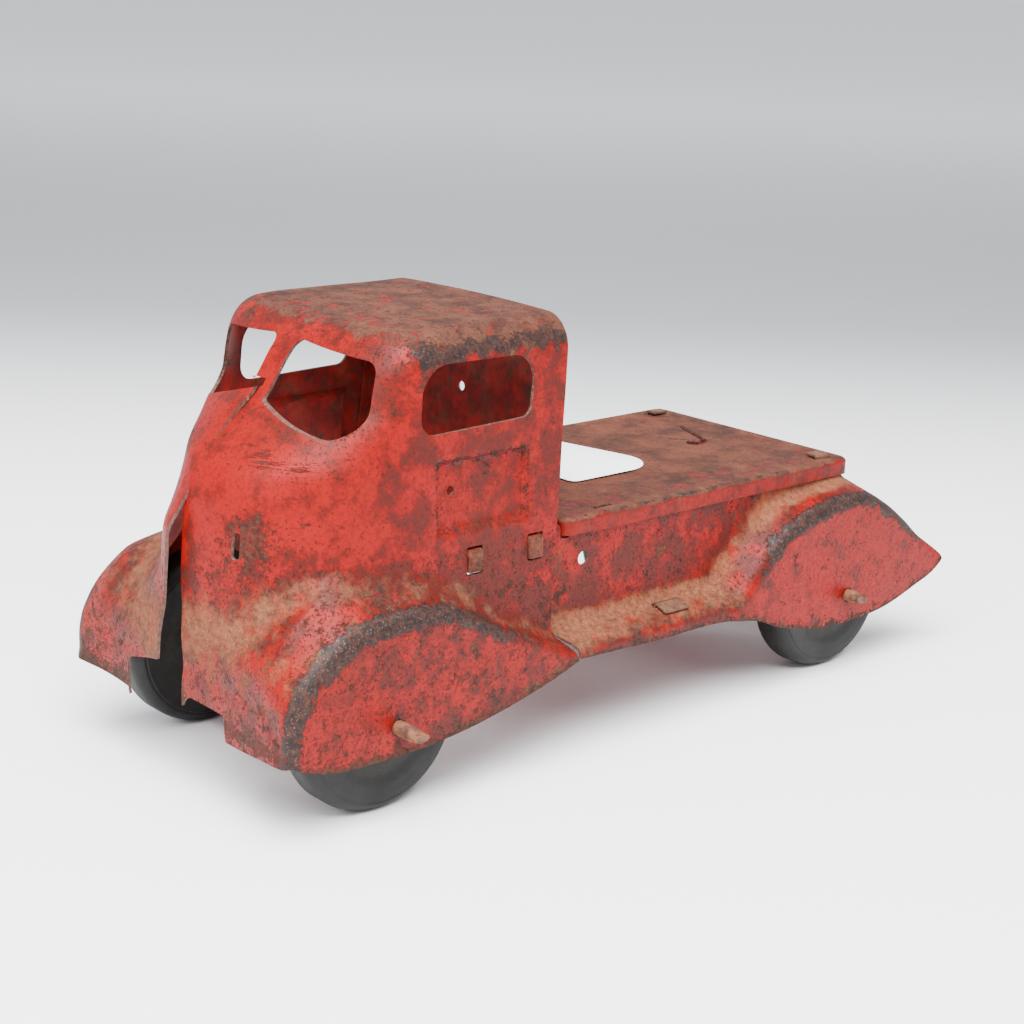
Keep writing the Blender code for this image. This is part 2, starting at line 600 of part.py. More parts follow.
def make_deck_plate():
    """The lid over the body: its rim is turned down, and a torn V is cut in it."""
    outer = rounded([(-DECK_HALF_WIDTH, DECK_FRONT_Y, 4), (DECK_HALF_WIDTH, DECK_FRONT_Y, 4),
                     (DECK_HALF_WIDTH, DECK_BACK_Y, 4), (-DECK_HALF_WIDTH, DECK_BACK_Y, 4)])
    middle = np.array((0, (DECK_FRONT_Y + DECK_BACK_Y) / 2))

    def shrunk(amount):
        size = np.array((DECK_HALF_WIDTH, (DECK_BACK_Y - DECK_FRONT_Y) / 2))
        return (np.array(outer) - middle) * (1 - amount / size) + middle

    loops = [(shrunk(0), DECK_RIM_Z), (shrunk(0), DECK_TOP_Z - 1.4), (shrunk(0.5), DECK_TOP_Z - 0.4),
             (shrunk(1.4), DECK_TOP_Z)]
    count = len(outer)
    points = [(x, y, z) for loop, z in loops for x, y in loop]
    faces = [[k * count + i, k * count + (i + 1) % count, (k + 1) * count + (i + 1) % count, (k + 1) * count + i]
             for k in range(3) for i in range(count)]
    faces.append([3 * count + i for i in range(count)])
    deck = add_object("deck_plate", place(points), faces)
    for offset, normal in ((-CLEAR_PATCH_X, (1, 0, 0)), (CLEAR_PATCH_X, (1, 0, 0)),
                           (CLEAR_PATCH_Y[0], (0, 1, 0)), (CLEAR_PATCH_Y[1], (0, 1, 0))):
        split_faces(deck, place(np.array(normal) * offset)[0], normal)
    thicken(deck)
    for side in (-1, 1):
        for y in DECK_TABS_Y:
            slot = [(side * 42 - 1.1, y - 4.2), (side * 42 + 1.1, y - 4.2), (side * 42 + 1.1, y + 4.2),
                    (side * 42 - 1.1, y + 4.2)]
            apply_tool(deck, prism(f"cut_deck_slot_{side}_{y}", slot, "z", 70, 80))
    apply_tool(deck, prism("cut_torn_v", TORN_V, "z", 70, 80))
    red_paint(deck, "rusty_red_paint")


def make_cross_strap():
    """A strap under the running boards. Its ends come up through them and are bent outwards."""
    profile = [(-49.8, 35.6), (49.8, 35.6), (49.8, 41.0), (55.3, 39.0), (55.3, 40.0), (49.6, 42.2), (48.8, 42.2),
               (48.8, 36.6), (-48.8, 36.6), (-48.8, 42.2), (-49.6, 42.2), (-55.3, 40.0), (-55.3, 39.0),
               (-49.8, 41.0)]
    strap = prism("cross_strap", profile, "y", 47.2, 58.8)
    give_material(strap, "bare_steel", (0.32, 0.24, 0.19), 0.55, 0.7)


def make_paper_label():
    z = DECK_TOP_Z + GAP
    label = prism("paper_label", rounded(LABEL), "z", z, z + 0.3)
    give_material(label, "white_paper", (0.85, 0.85, 0.83), 0.6)


def turned(name, profile, sides):
    """A body of revolution about X from (x, radius) points that run round its closed section."""
    count = len(profile)
    points = [(x * MM, r * math.cos(2 * math.pi * (k + 0.5) / sides) * MM,
               r * math.sin(2 * math.pi * (k + 0.5) / sides) * MM) for k in range(sides) for x, r in profile]
    faces = [[k * count + i, k * count + (i + 1) % count, (k + 1) % sides * count + (i + 1) % count,
              (k + 1) % sides * count + i] for k in range(sides) for i in range(count)]
    item = add_object(name, points, faces)
    face_outwards(item)
    return item


def make_wheel(name, side, axle_y):
    """A solid rubber wheel: hub boss, dished disc, and a thick rounded tread."""
    half = WHEEL_WIDTH / 2
    outer_face = [(half - 1, BORE_R), (half - 1, 6.5), (half - 1.6, 8), (half - 1.4, 17.5), (half - 0.4, 20.5),
                  (half, 24.5), (half - 1.4, 27.3), (half - 4.5, WHEEL_R)]
    profile = outer_face + [(-x, r) for x, r in reversed(outer_face)]
    sides = 24
    grow = 1 / math.cos(math.pi / sides)
    wheel = turned(name, [(x, r * grow) for x, r in profile], sides)
    wheel.location = place((side * WHEEL_X, axle_y, AXLE_Z))[0]
    shade(wheel)
    give_material(wheel, "black_rubber", (0.045, 0.043, 0.042), 0.6)


def make_axle(name, half_length, axle_y):
    """A rod with crimps that keep the wheels in place and with flattened ends."""
    sides = 12
    inner = WHEEL_X - WHEEL_WIDTH / 2 - 1.2
    outer = WHEEL_X + WHEEL_WIDTH / 2 + 1.2
    crimp = (3.1, 1.5)
    stations = [(half_length, (2.9, 1.2)), (half_length - 2.6, (2.9, 1.3)), (half_length - 4.6, (AXLE_R, AXLE_R))]
    for place_x in (outer, inner):
        stations += [(place_x + 1.8, (AXLE_R, AXLE_R)), (place_x + 0.6, crimp), (place_x - 0.6, crimp),
                     (place_x - 1.8, (AXLE_R, AXLE_R))]
    stations += [(-x, size) for x, size in reversed(stations)]
    points = []
    for x, (across, up) in stations:
        for k in range(sides):
            turn = 2 * math.pi * (k + 0.5) / sides
            points.append((x * MM, across * math.cos(turn) * MM, up * math.sin(turn) * MM))
    last = len(stations) - 1
    faces = [[k * sides + i, k * sides + (i + 1) % sides, (k + 1) * sides + (i + 1) % sides, (k + 1) * sides + i]
             for k in range(last) for i in range(sides)]
    faces += [list(range(sides)), list(range(last * sides, (last + 1) * sides))]
    axle = add_object(name, points, faces)
    face_outwards(axle)
    axle.location = place((0, axle_y, AXLE_Z))[0]
    shade(axle)
    give_material(axle, "rusty_steel", (0.3, 0.16, 0.08), 0.6, 0.5)


for item in list(bpy.data.objects):
    bpy.data.objects.remove(item, do_unlink=True)

make_cab_shell()
make_cab_rear_wall()
make_body_shell()
make_deck_plate()
make_cross_strap()
make_paper_label()
for axle, half_length, axle_y in (("front", FRONT_AXLE_HALF, FRONT_AXLE_Y), ("rear", REAR_AXLE_HALF, REAR_AXLE_Y)):
    make_axle(f"{axle}_axle", half_length, axle_y)
    make_wheel(f"wheel_{axle}_left", 1, axle_y)
    make_wheel(f"wheel_{axle}_right", -1, axle_y)
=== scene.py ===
"""The looks of a worn pressed-steel toy truck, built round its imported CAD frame.

Shapes are worked out in millimetres: x to the truck's left, y to its back with y = 0 at the foot of the
cab's rear edge, z up from the ground. place() turns them into the frame's metres.
"""
import math

import bmesh
import bpy
import numpy as np
from mathutils import Matrix, Vector, noise


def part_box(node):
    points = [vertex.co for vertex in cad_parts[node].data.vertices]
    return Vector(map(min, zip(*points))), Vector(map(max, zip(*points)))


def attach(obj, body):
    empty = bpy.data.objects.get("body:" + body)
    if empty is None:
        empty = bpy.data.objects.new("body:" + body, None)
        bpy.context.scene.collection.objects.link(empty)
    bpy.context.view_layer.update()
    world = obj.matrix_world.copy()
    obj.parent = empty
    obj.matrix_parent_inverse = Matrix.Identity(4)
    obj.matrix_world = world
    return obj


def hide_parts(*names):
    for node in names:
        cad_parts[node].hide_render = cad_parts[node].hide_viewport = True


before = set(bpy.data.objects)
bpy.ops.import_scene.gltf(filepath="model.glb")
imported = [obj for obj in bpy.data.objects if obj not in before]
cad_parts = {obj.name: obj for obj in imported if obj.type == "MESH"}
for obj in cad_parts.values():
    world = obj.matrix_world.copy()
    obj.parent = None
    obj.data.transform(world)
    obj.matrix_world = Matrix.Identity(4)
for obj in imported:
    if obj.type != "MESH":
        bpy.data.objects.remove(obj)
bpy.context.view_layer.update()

MM = 0.001
SHEET = 1.0                     # thickness of the pressed steel
GAP = 0.3
SKIRT_X = 58.5
WHEEL_R = 29.0
WHEEL_WIDTH = 15.0
WHEEL_X = 44.5
AXLE_R = 2.3
BORE_R = 2.6
FRONT_AXLE_Y = -67.2
REAR_AXLE_Y = 138.6
AXLE_Z = 29.0
MIDDLE_Y = REAR_AXLE_Y - sum(corner.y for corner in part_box("rear_axle")) / 2 / MM

CAB_HUB_Y = -48.0
CAB_FOOT_Z = 42.0
CAB_HALF_WIDTH = 50.0
CAB_LEAN_IN = 3.8 / 80
CAB_LEAN_BACK = 6.8 / 88
ROOF_Z = 141.4
SHOULDER_R = 10.0
NOSE_ROUNDNESS = 2.4
RIDGE_R = 3.5
CAB_FILLET_R = 6.0
FRONT_CORNER_Y = -105.4
TAIL_REACH = 5.0

BODY_HALF_WIDTH = 46.0
BODY_TOP_Z = 74.6
BODY_END_Y = 146.0
BOARD_X = 57.5
BOARD_Z = 37.5
DECK_HALF_WIDTH = 47.6
DECK_TOP_Z = 76.4
DECK_FRONT_Y = 7.0
DECK_BACK_Y = 147.7
DECK_RIM_Z = 70.6
DECK_BEND_R = 1.5
STRAP_Y = (47.4, 58.6)
FRONT_ROD_HALF_LENGTH = 69.5
REAR_ROD_HALF_LENGTH = 65.5
CRIMP_CLEARANCE = 1.2           # from a wheel's face to the crimp that keeps it in place
REAR_WALL_FOOT_Z = 75.4


# -------------------- small tools

def smooth_curve(points):
    """The curve through (position, value) points, level beyond its ends."""
    at, value = np.array(sorted(points), float).T
    slope = np.gradient(value, at)

    def curve(position):
        q = np.clip(position, at[0], at[-1])
        i = np.clip(np.searchsorted(at, q) - 1, 0, len(at) - 2)
        step = at[i + 1] - at[i]
        t = (q - at[i]) / step
        start = (2 * t**3 - 3 * t**2 + 1) * value[i] + (t**3 - 2 * t**2 + t) * step * slope[i]
        return start + (3 * t**2 - 2 * t**3) * value[i + 1] + (t**3 - t**2) * step * slope[i + 1]

    return curve


def ease(q):
    """0 below 0, 1 above 1, and a smooth step between."""
    q = np.clip(q, 0, 1)
    return q * q * (3 - 2 * q)


def bell(q, width):
    """1 at q = 0, fading to nothing over a few widths."""
    return np.exp(-(q / width) ** 2)


def above_both(a, b):
    """Distance from a corner at a = b = 0, counting only how far each value is above 0."""
    return np.hypot(np.maximum(a, 0), np.maximum(b, 0))


def round_max(a, b, radius):
    """Where both fields are negative, with the edge between them rounded."""
    a, b = a + radius, b + radius
    return np.minimum(np.maximum(a, b), 0) + above_both(a, b) - radius


def round_min(a, b, radius):
    """Where either field is negative, with a fillet in the corner between them."""
    return -round_max(-a, -b, radius)


def crossing(field, low, high):
    """The place between low and high where a field turns from negative to positive."""
    low, high = np.broadcast_arrays(np.array(low, float), np.array(high, float))
    low, high = low.copy(), high.copy()
    for _ in range(30):
        middle = (low + high) / 2
        inside = field(middle) < 0
        low, high = np.where(inside, middle, low), np.where(inside, high, middle)
    return (low + high) / 2


class Arch:
    """A fender's outline seen from the side, stored as a radius that turns about a hub."""

    def __init__(self, hub, points):
        self.hub = hub
        turn = [math.atan2(y - hub[0], z - hub[1]) for y, z in points]
        reach = [math.hypot(y - hub[0], z - hub[1]) for y, z in points]
        self.reach = smooth_curve(list(zip(turn, reach)))

    def distance(self, y, z):
        dy, dz = y - self.hub[0], z - self.hub[1]
        return np.hypot(dy, dz) - self.reach(np.arctan2(dy, dz))


# -------------------- the cab's shape

SEAM_Y = smooth_curve([(25, -93), (38, -97), (50, -101.5), (60, -103), (72, -103), (85, -102), (91, -101),
                       (97, -99), (102, -96.5), (108, -90), (114, -82.5), (118, -77), (124, -72.5),
                       (134, -66.2), (144, -61)])
FRONT_ARCH = Arch((-60, 18), [(-106, 27), (-105, 38), (-100, 47), (-95, 52), (-88, 57), (-79, 60), (-70, 61),
                              (-62, 62), (-53, 61.5), (-43, 59), (-34, 54.5), (-25, 49.5), (-14, 45),
                              (-3, 39.5), (5, 36), (14, 31)])
FRONT_RISE = smooth_curve([(-95, 0.8), (-79, 0.75), (-62, 0.45), (-37, 0.25), (-20, 0.15), (0, 0.05)])
SKIRT_BOTTOM = smooth_curve([(-105.4, 25.5), (-92, 21), (-75, 20), (-49, 21), (-24, 25), (-7, 29.5),
                             (5, 33.5)])
FENDER_SLOPE_REACH = 14.0
APRON_SETBACK = 3.3
CORNER_STATION = math.atan2(SKIRT_X, CAB_HUB_Y - FRONT_CORNER_Y) / (math.pi / 2)
DOOR_PANEL_Y = (-46.0, -9.0)
DOOR_PANEL_Z = (80.0, 103.0)
DOOR_PANEL_DEPTH = 1.8
DOOR_PANEL_BORDER = 1.8
RAY_Z = 30.0                    # every surface point is found along a ray from this height


def cab_walls(x, y, z):
    """Nose, sides and roof. Forward of the hub line the plan outline is a superellipse."""
    half = CAB_HALF_WIDTH - CAB_LEAN_IN * (z - CAB_FOOT_Z)
    ahead = np.maximum(CAB_HUB_Y - y, 0)
    length = CAB_HUB_Y - SEAM_Y(z)
    aside = np.maximum(np.abs(x), 0.01)
    ratio = ((aside / half) ** NOSE_ROUNDNESS + (ahead / length) ** NOSE_ROUNDNESS) ** (1 / NOSE_ROUNDNESS)
    reach = np.hypot(aside, ahead)
    side = reach - reach / ratio
    roof = z - ROOF_Z + 0.0006 * x**2 + 0.0035 * np.maximum(-38 - y, 0) ** 2
    return round_max(side, roof, SHOULDER_R)


def front_fender_top(x, y, z):
    """Distance above the front fenders' and the apron's top."""
    inward = np.clip(SKIRT_X - np.abs(x), 0, FENDER_SLOPE_REACH)
    setback = APRON_SETBACK * (1 - (x / SKIRT_X) ** 2)
    return FRONT_ARCH.distance(y - setback, z - FRONT_RISE(y) * inward)


def front_fender(x, y, z):
    return round_max(np.abs(x) - SKIRT_X, front_fender_top(x, y, z), RIDGE_R)


def cab_field(x, y, z):
    return round_min(cab_walls(x, y, z), front_fender(x, y, z), CAB_FILLET_R)


def rear_edge_shift(z):
    """How far the cab's rear edge lies behind y = 0 at a height."""
    return np.where(z > CAB_FOOT_Z, CAB_LEAN_BACK * (z - CAB_FOOT_Z),
                    TAIL_REACH * ease((CAB_FOOT_Z - z) / 6))


def cab_point(station, reach, z):
    """Stations 0 to 1 turn from the nose's seam to its side, and 1 to 2 run back along the side."""
    turn = np.minimum(station, 1) * math.pi / 2
    back = np.clip(station - 1, 0, 1)
    y_side = CAB_HUB_Y * (1 - back) + back**2 * rear_edge_shift(z)
    x = reach * np.sin(turn)
    y = np.where(station <= 1, CAB_HUB_Y - reach * np.cos(turn), y_side)
    return np.where(station <= 1, x, reach), y, z


def section_rows(point, field, stations, edge_reach, edge_z, columns):
    """Points on a surface: a row for each station, spaced evenly from its middle to its lower edge."""
    stations = np.asarray(stations, float)[:, None]
    fine = np.linspace(0, 1, 5 * columns)[None, :]
    edge_angle = np.arctan2(edge_z - RAY_Z, edge_reach)[:, None]
    angle = math.pi / 2 + (edge_angle - math.pi / 2) * fine
    run, rise = np.cos(angle), np.sin(angle)
    length = crossing(lambda q: field(*point(stations, q * run, RAY_Z + q * rise)), np.zeros(angle.shape),
                      180)
    traced = np.stack(np.broadcast_arrays(*point(stations, length * run, RAY_Z + length * rise)), axis=2)
    rows = []
    for row in traced:
        along = np.concatenate([[0], np.cumsum(np.linalg.norm(np.diff(row, axis=0), axis=1))])
        even = np.linspace(0, along[-1], columns)
        rows.append(np.stack([np.interp(even, along, row[:, k]) for k in range(3)], axis=1))
    return np.array(rows)


def inside_door_panel(y, z):
    """Distance inwards from the door panel's outline, negative outside it."""
    return np.minimum.reduce([y - DOOR_PANEL_Y[0], DOOR_PANEL_Y[1] - y, z - DOOR_PANEL_Z[0],
                              DOOR_PANEL_Z[1] - z])


def press_door_panel(points):
    """Push the door's panel inwards, with a sloping border."""
    border = inside_door_panel(points[..., 1], points[..., 2])
    points[..., 0] -= DOOR_PANEL_DEPTH * ease(border / DOOR_PANEL_BORDER)


FLAT_SIDE_ROUNDNESS = smooth_curve([(60, 2.4), (68, 1.6), (75, 1.5), (105, 1.55), (122, 1.95), (136, 2.4)])


def flatten_side(points):
    """Draw the right half of the nose in between its seam and its side, where it has lost its bulge."""
    x, y, z = points[..., 0], points[..., 1], points[..., 2]
    half = CAB_HALF_WIDTH - CAB_LEAN_IN * (z - CAB_FOOT_Z)
    aside = np.abs(x) / half
    ahead = np.maximum(CAB_HUB_Y - y, 0.001) / (CAB_HUB_Y - SEAM_Y(z))

    def ratio(n):
        return (aside**n + ahead**n) ** (1 / n)

    scale = np.where(y < CAB_HUB_Y, ratio(NOSE_ROUNDNESS) / ratio(FLAT_SIDE_ROUNDNESS(z)), 1)
    points[..., 0] *= scale
    points[..., 1] = CAB_HUB_Y + (y - CAB_HUB_Y) * scale


SPRUNG_OUT = smooth_curve([(31, 8.5), (38, 7.5), (47, 5.5), (60, 5), (75, 5), (82, 4.6), (86, 2.8), (89, 1.6),
                           (121, 1.6)])
SPRUNG_ASIDE = smooth_curve([(31, -4.5), (38, -3.5), (47, -4.5), (64, -1.5), (74, -0.8), (82, -1.0),
                             (86, -0.4), (92, 0.6), (112, 0.6), (121, -0.4)])
SPRUNG_WIDTH = 52.0
SPRUNG_TOP_Z = 122.0


def spring_open(points):
    """Bend the right half of the nose forwards and aside, most at its seam and its foot."""
    x, y, z = points[..., 0], points[..., 1], points[..., 2]
    share = np.clip(1 - np.abs(x) / SPRUNG_WIDTH, 0, 1) ** 2 * (z < SPRUNG_TOP_Z) * (y < CAB_HUB_Y)
    slope = np.clip((z - 92) / 16, 0, 1) * math.radians(42)
    points[..., 0] += share * SPRUNG_ASIDE(z)
    points[..., 1] -= share * SPRUNG_OUT(z) * np.cos(slope)
    points[..., 2] += share * SPRUNG_OUT(z) * np.sin(slope)


def closed_again(points):
    """Where points of the sprung half would lie if it had never been bent."""
    before = points.copy()
    right = points[:, 0] < 0
    for _ in range(4):
        moved = before[right].copy()
        spring_open(moved)
        before[right] += points[right] - moved
    return before


# -------------------- the body's shape

REAR_ARCH = Arch((138, 15), [(79, 32), (86, 43), (94, 51), (102, 57), (111, 61), (121, 63.3), (134, 65),
                             (147, 64.5), (159, 59), (171, 51), (182, 42.5), (194.6, 34.4), (204, 27)])
REAR_RISE = smooth_curve([(79, 0.75), (96, 0.5), (107, 0.4), (121, 0.3), (147, 0.28), (160, 0.2), (194, 0.1)])
BODY_BOTTOM = smooth_curve([(0, 33.5), (40, 32.4), (80, 31), (91, 28.8), (100, 25), (111, 22), (128, 19.2),
                            (143, 19), (160, 20.2), (178, 25), (190, 29.4), (194.6, 32.6)])
BODY_FILLET_R = 4.0
BOARD_END_Y = 120.0
TAIL_Y = 194.6


def body_box(x, y, z):
    side = round_max(np.abs(x) - BODY_HALF_WIDTH, y - BODY_END_Y, 4)
    return round_max(side, z - BODY_TOP_Z, 1.6)


def body_side_x(y):
    """The running board is a little narrower than the fender it runs into."""
    return BOARD_X + (SKIRT_X - BOARD_X) * ease((y - 74) / 10)


def rear_fender_top(x, y, z):
    inward = np.clip(SKIRT_X - np.abs(x), 0, FENDER_SLOPE_REACH)
    return REAR_ARCH.distance(y, z - REAR_RISE(y) * inward)


def board_top(x, y, z):
    inward = np.clip(SKIRT_X - np.abs(x), 0, FENDER_SLOPE_REACH)
    return round_max(z - BOARD_Z - 0.35 * inward, y - BOARD_END_Y, 2)


def boards_and_fenders(x, y, z):
    top = round_min(board_top(x, y, z), rear_fender_top(x, y, z), 4)
    return round_max(np.abs(x) - body_side_x(y), top, RIDGE_R)


def body_field(x, y, z):
    return round_min(body_box(x, y, z), boards_and_fenders(x, y, z), BODY_FILLET_R)


def body_point(station, reach, z):
    """A station is a y. The front edge follows the cab's rear edge, and that bend fades by y = 40."""
    return reach, station + (1 - ease(station / 40)) * (rear_edge_shift(z) + 1.6), z


# -------------------- outlines

def rounded(corners, segments=8):
    """An outline whose (u, v, radius) corners are rounded with arcs."""
    outline = []
    count = len(corners)
    for i, (u, v, radius) in enumerate(corners):
        here = np.array((u, v), float)
        before = np.array(corners[i - 1][:2], float) - here
        after = np.array(corners[(i + 1) % count][:2], float) - here
        before /= np.linalg.norm(before)
        after /= np.linalg.norm(after)
        if radius <= 0:
            outline.append(tuple(here))
            continue
        half = math.acos(np.clip(before @ after, -1, 1)) / 2
        middle = here + (before + after) / np.linalg.norm(before + after) * radius / math.sin(half)
        first = here + before * radius / math.tan(half) - middle
        last = here + after * radius / math.tan(half) - middle
        start = math.atan2(first[1], first[0])
        sweep = (math.atan2(last[1], last[0]) - start + math.pi) % (2 * math.pi) - math.pi
        for k in range(segments + 1):
            turn = start + sweep * k / segments
            outline.append((middle[0] + radius * math.cos(turn), middle[1] + radius * math.sin(turn)))
    return outline


def disc(u, v, radius, sides=32):
    return [(u + radius * math.cos(2 * math.pi * k / sides), v + radius * math.sin(2 * math.pi * k / sides))
            for k in range(sides)]


def slot(u, v, wide, tall, radius=0.6):
    """An upright rounded rectangle about a middle."""
    return rounded([(u - wide / 2, v - tall / 2, radius), (u + wide / 2, v - tall / 2, radius),
                    (u + wide / 2, v + tall / 2, radius), (u - wide / 2, v + tall / 2, radius)], 4)


WINDSHIELD = [(4.2, 117.2, 1.5), (4.6, 134.6, 3), (37.6, 132.2, 4.5), (41.4, 109.2, 6)]
RIGHT_WINDSHIELD = [(0.8, 120.6, 0), (0.8, 122.6, 0), (-4.3, 122.6, 0), (-4.6, 134.6, 3), (-37.6, 132.2, 4.5),
                    (-41.4, 109.2, 6)]
DOOR_WINDOW = [(-51.5, 110.6, 5), (-50, 131.2, 10), (-6, 131, 8), (-8.5, 111.8, 4)]
TAB_SLOTS_Y = (-31.0, -6.5)
TAB_SLOT_Z = 70.8
LAMP_SLOT_X = 22.0
RIGHT_APRON = [(-0.3, 10, 0), (-0.3, 42, 0), (-25, 35, 1.5), (-26, 10, 0)]
RIGHT_CORNER_FOOT = [(-25.5, 10), (-25.5, 25), (-60, 25.3), (-60, 10)]
DECK_TABS_Y = (28.0, 138.0)
DECK_TAB_X = 42.0
TORN_V = [(1, 123.4), (3.2, 118.6), (3, 113.8), (-0.6, 112.4), (-3.6, 116.6), (-11, 109.5), (-12.5, 110.8),
          (-2.2, 122.2), (-21.8, 130.4), (-21.2, 132.6)]
LABEL = [(-33, 40, 3), (16.5, 40, 3), (16.5, 84, 13), (-33, 73.4, 4)]


# -------------------- meshes and objects

def place(points):
    """From working millimetres to the frame's metres."""
    points = np.asarray(points, float).reshape(-1, 3)
    return (points - (0, MIDDLE_Y, 0)) * MM


def working(mesh):
    """A mesh's points in working millimetres."""
    points = np.empty(len(mesh.vertices) * 3)
    mesh.vertices.foreach_get("co", points)
    return points.reshape(-1, 3) / MM + (0, MIDDLE_Y, 0)


def add_object(name, points, faces):
    mesh = bpy.data.meshes.new(name)
    mesh.from_pydata([tuple(p) for p in points], [], faces)
    item = bpy.data.objects.new(name, mesh)
    bpy.context.scene.collection.objects.link(item)
    return item


def clean_up(item, distance=2e-6, outwards=True):
    """Weld points that meet, drop faces without area, and turn the faces out."""
    bm = bmesh.new()
    bm.from_mesh(item.data)
    bmesh.ops.remove_doubles(bm, verts=bm.verts, dist=distance)
    bmesh.ops.dissolve_degenerate(bm, edges=bm.edges, dist=distance)
    if outwards:
        bmesh.ops.recalc_face_normals(bm, faces=bm.faces)
    bm.to_mesh(item.data)
    bm.free()


def settle(item):
    """Give an item the mesh that its modifiers make."""
    graph = bpy.context.evaluated_depsgraph_get()
    mesh = bpy.data.meshes.new_from_object(item.evaluated_get(graph))
    item.modifiers.clear()
    item.data = mesh


def shade(item, degrees=35):
    item.data.shade_smooth()
    item.data.set_sharp_from_angle(angle=math.radians(degrees))


def finish_piece(item, body, nodes=()):
    """Let a piece ride on its body and stand for the CAD nodes that it replaces."""
    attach(item, body)
    if nodes:
        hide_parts(*nodes)


def prism_parts(outline, axis, low, high):
    """Points and faces of a closed block: an outline pushed along an axis from low to high."""
    order = {"x": lambda u, v, w: (w, u, v), "y": lambda u, v, w: (u, w, v), "z": lambda u, v, w: (u, v, w)}
    count = len(outline)
    points = [order[axis](u, v, w) for w in (low, high) for u, v in outline]
    faces = [list(range(count)), list(range(count, 2 * count))]
    faces += [[i, (i + 1) % count, count + (i + 1) % count, count + i] for i in range(count)]
    return points, faces


def tube_faces(rings, count):
    """Faces between rings that hold the same number of points each."""
    faces = []
    for start in range(0, (rings - 1) * count, count):
        for i in range(count):
            a, b = start + i, start + (i + 1) % count
            faces.append([a, b, b + count, a + count])
    return faces


def block(name, outline, axis, low, high, bevel=0.0):
    points, faces = prism_parts(outline, axis, low, high)
    item = add_object(name, place(points), faces)
    clean_up(item)
    if bevel:
        modifier = item.modifiers.new("soft_edges", "BEVEL")
        modifier.width = bevel * MM
        modifier.segments = 2
        modifier.limit_method = "ANGLE"
        modifier.angle_limit = math.radians(40)
        settle(item)
        shade(item)
    return item


def cut(item, tools):
    """Cut a group of blocks that don't touch each other from a closed sheet."""
    points, faces = [], []
    for tool in tools:
        more, rings = prism_parts(*tool)
        faces += [[len(points) + i for i in ring] for ring in rings]
        points += more
    cutter = add_object("cutter", place(points), faces)
    clean_up(cutter)
    for material in item.data.materials:
        cutter.data.materials.append(material)
    edge = len(item.data.materials) - 1
    for face in cutter.data.polygons:
        face.material_index = edge
    modifier = item.modifiers.new("cuts", "BOOLEAN")
    modifier.operation = "DIFFERENCE"
    modifier.object = cutter
    modifier.solver = "EXACT"
    settle(item)
    bpy.data.objects.remove(cutter, do_unlink=True)


def grid_normals(grid):
    """Unit normals of a grid of points, one for each point."""
    along = np.gradient(grid, axis=0)
    across = np.gradient(grid, axis=1)
    normal = np.cross(across, along)
    return normal / np.maximum(np.linalg.norm(normal, axis=2, keepdims=True), 1e-9)


def beat(grid, depth, size, seed):
    """Push a grid inwards here and there, as old thin sheet is. Nothing moves next to x = 0."""
    flat = grid.reshape(-1, 3)
    push = np.array([noise.noise(Vector(p) / size + Vector((seed, 0, 0))) for p in flat])
    push = np.clip(push + 0.25, 0, 1) * ease(np.abs(flat[:, 0]) / 6)
    grid -= grid_normals(grid) * (depth * push.reshape(grid.shape[:2])[..., None])


def sheet_shell(name, left, right, materials):
    """Two grids of points joined where they meet, facing out and thickened into sheet steel."""
    points, faces = [], []
    for grid, flip in ((left, False), (right, True)):
        rows, columns = grid.shape[:2]
        base = len(points)
        points += list(place(grid))
        for i in range(rows - 1):
            for j in range(columns - 1):
                a = base + i * columns + j
                face = [a, a + columns, a + columns + 1, a + 1]
                faces.append(face if flip else face[::-1])
    item = add_object(name, points, faces)
    clean_up(item, outwards=False)
    for material in materials:
        item.data.materials.append(material)
    modifier = item.modifiers.new("sheet", "SOLIDIFY")
    modifier.thickness = SHEET * MM
    modifier.offset = -1
    modifier.use_even_offset = True
    modifier.material_offset = 1
    modifier.material_offset_rim = 2
    settle(item)
    return item


def keep_in_box(item, *nodes):
    """Bring in the few points that lie a hair outside the CAD nodes they stand for."""
    corners = [corner for node_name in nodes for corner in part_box(node_name)]
    low, high = np.min(corners, axis=0), np.max(corners, axis=0)
    points = np.empty(len(item.data.vertices) * 3)
    item.data.vertices.foreach_get("co", points)
    points = np.clip(points.reshape(-1, 3), low, high)
    item.data.vertices.foreach_set("co", points.ravel())
    item.data.update()


def write_masks(item, masks):
    for name, values in masks.items():
        layer = item.data.attributes.new(name, "FLOAT", "POINT")
        values = np.broadcast_to(np.clip(values, 0, 1), len(item.data.vertices))
        layer.data.foreach_set("value", values.astype(np.float32))


# -------------------- materials

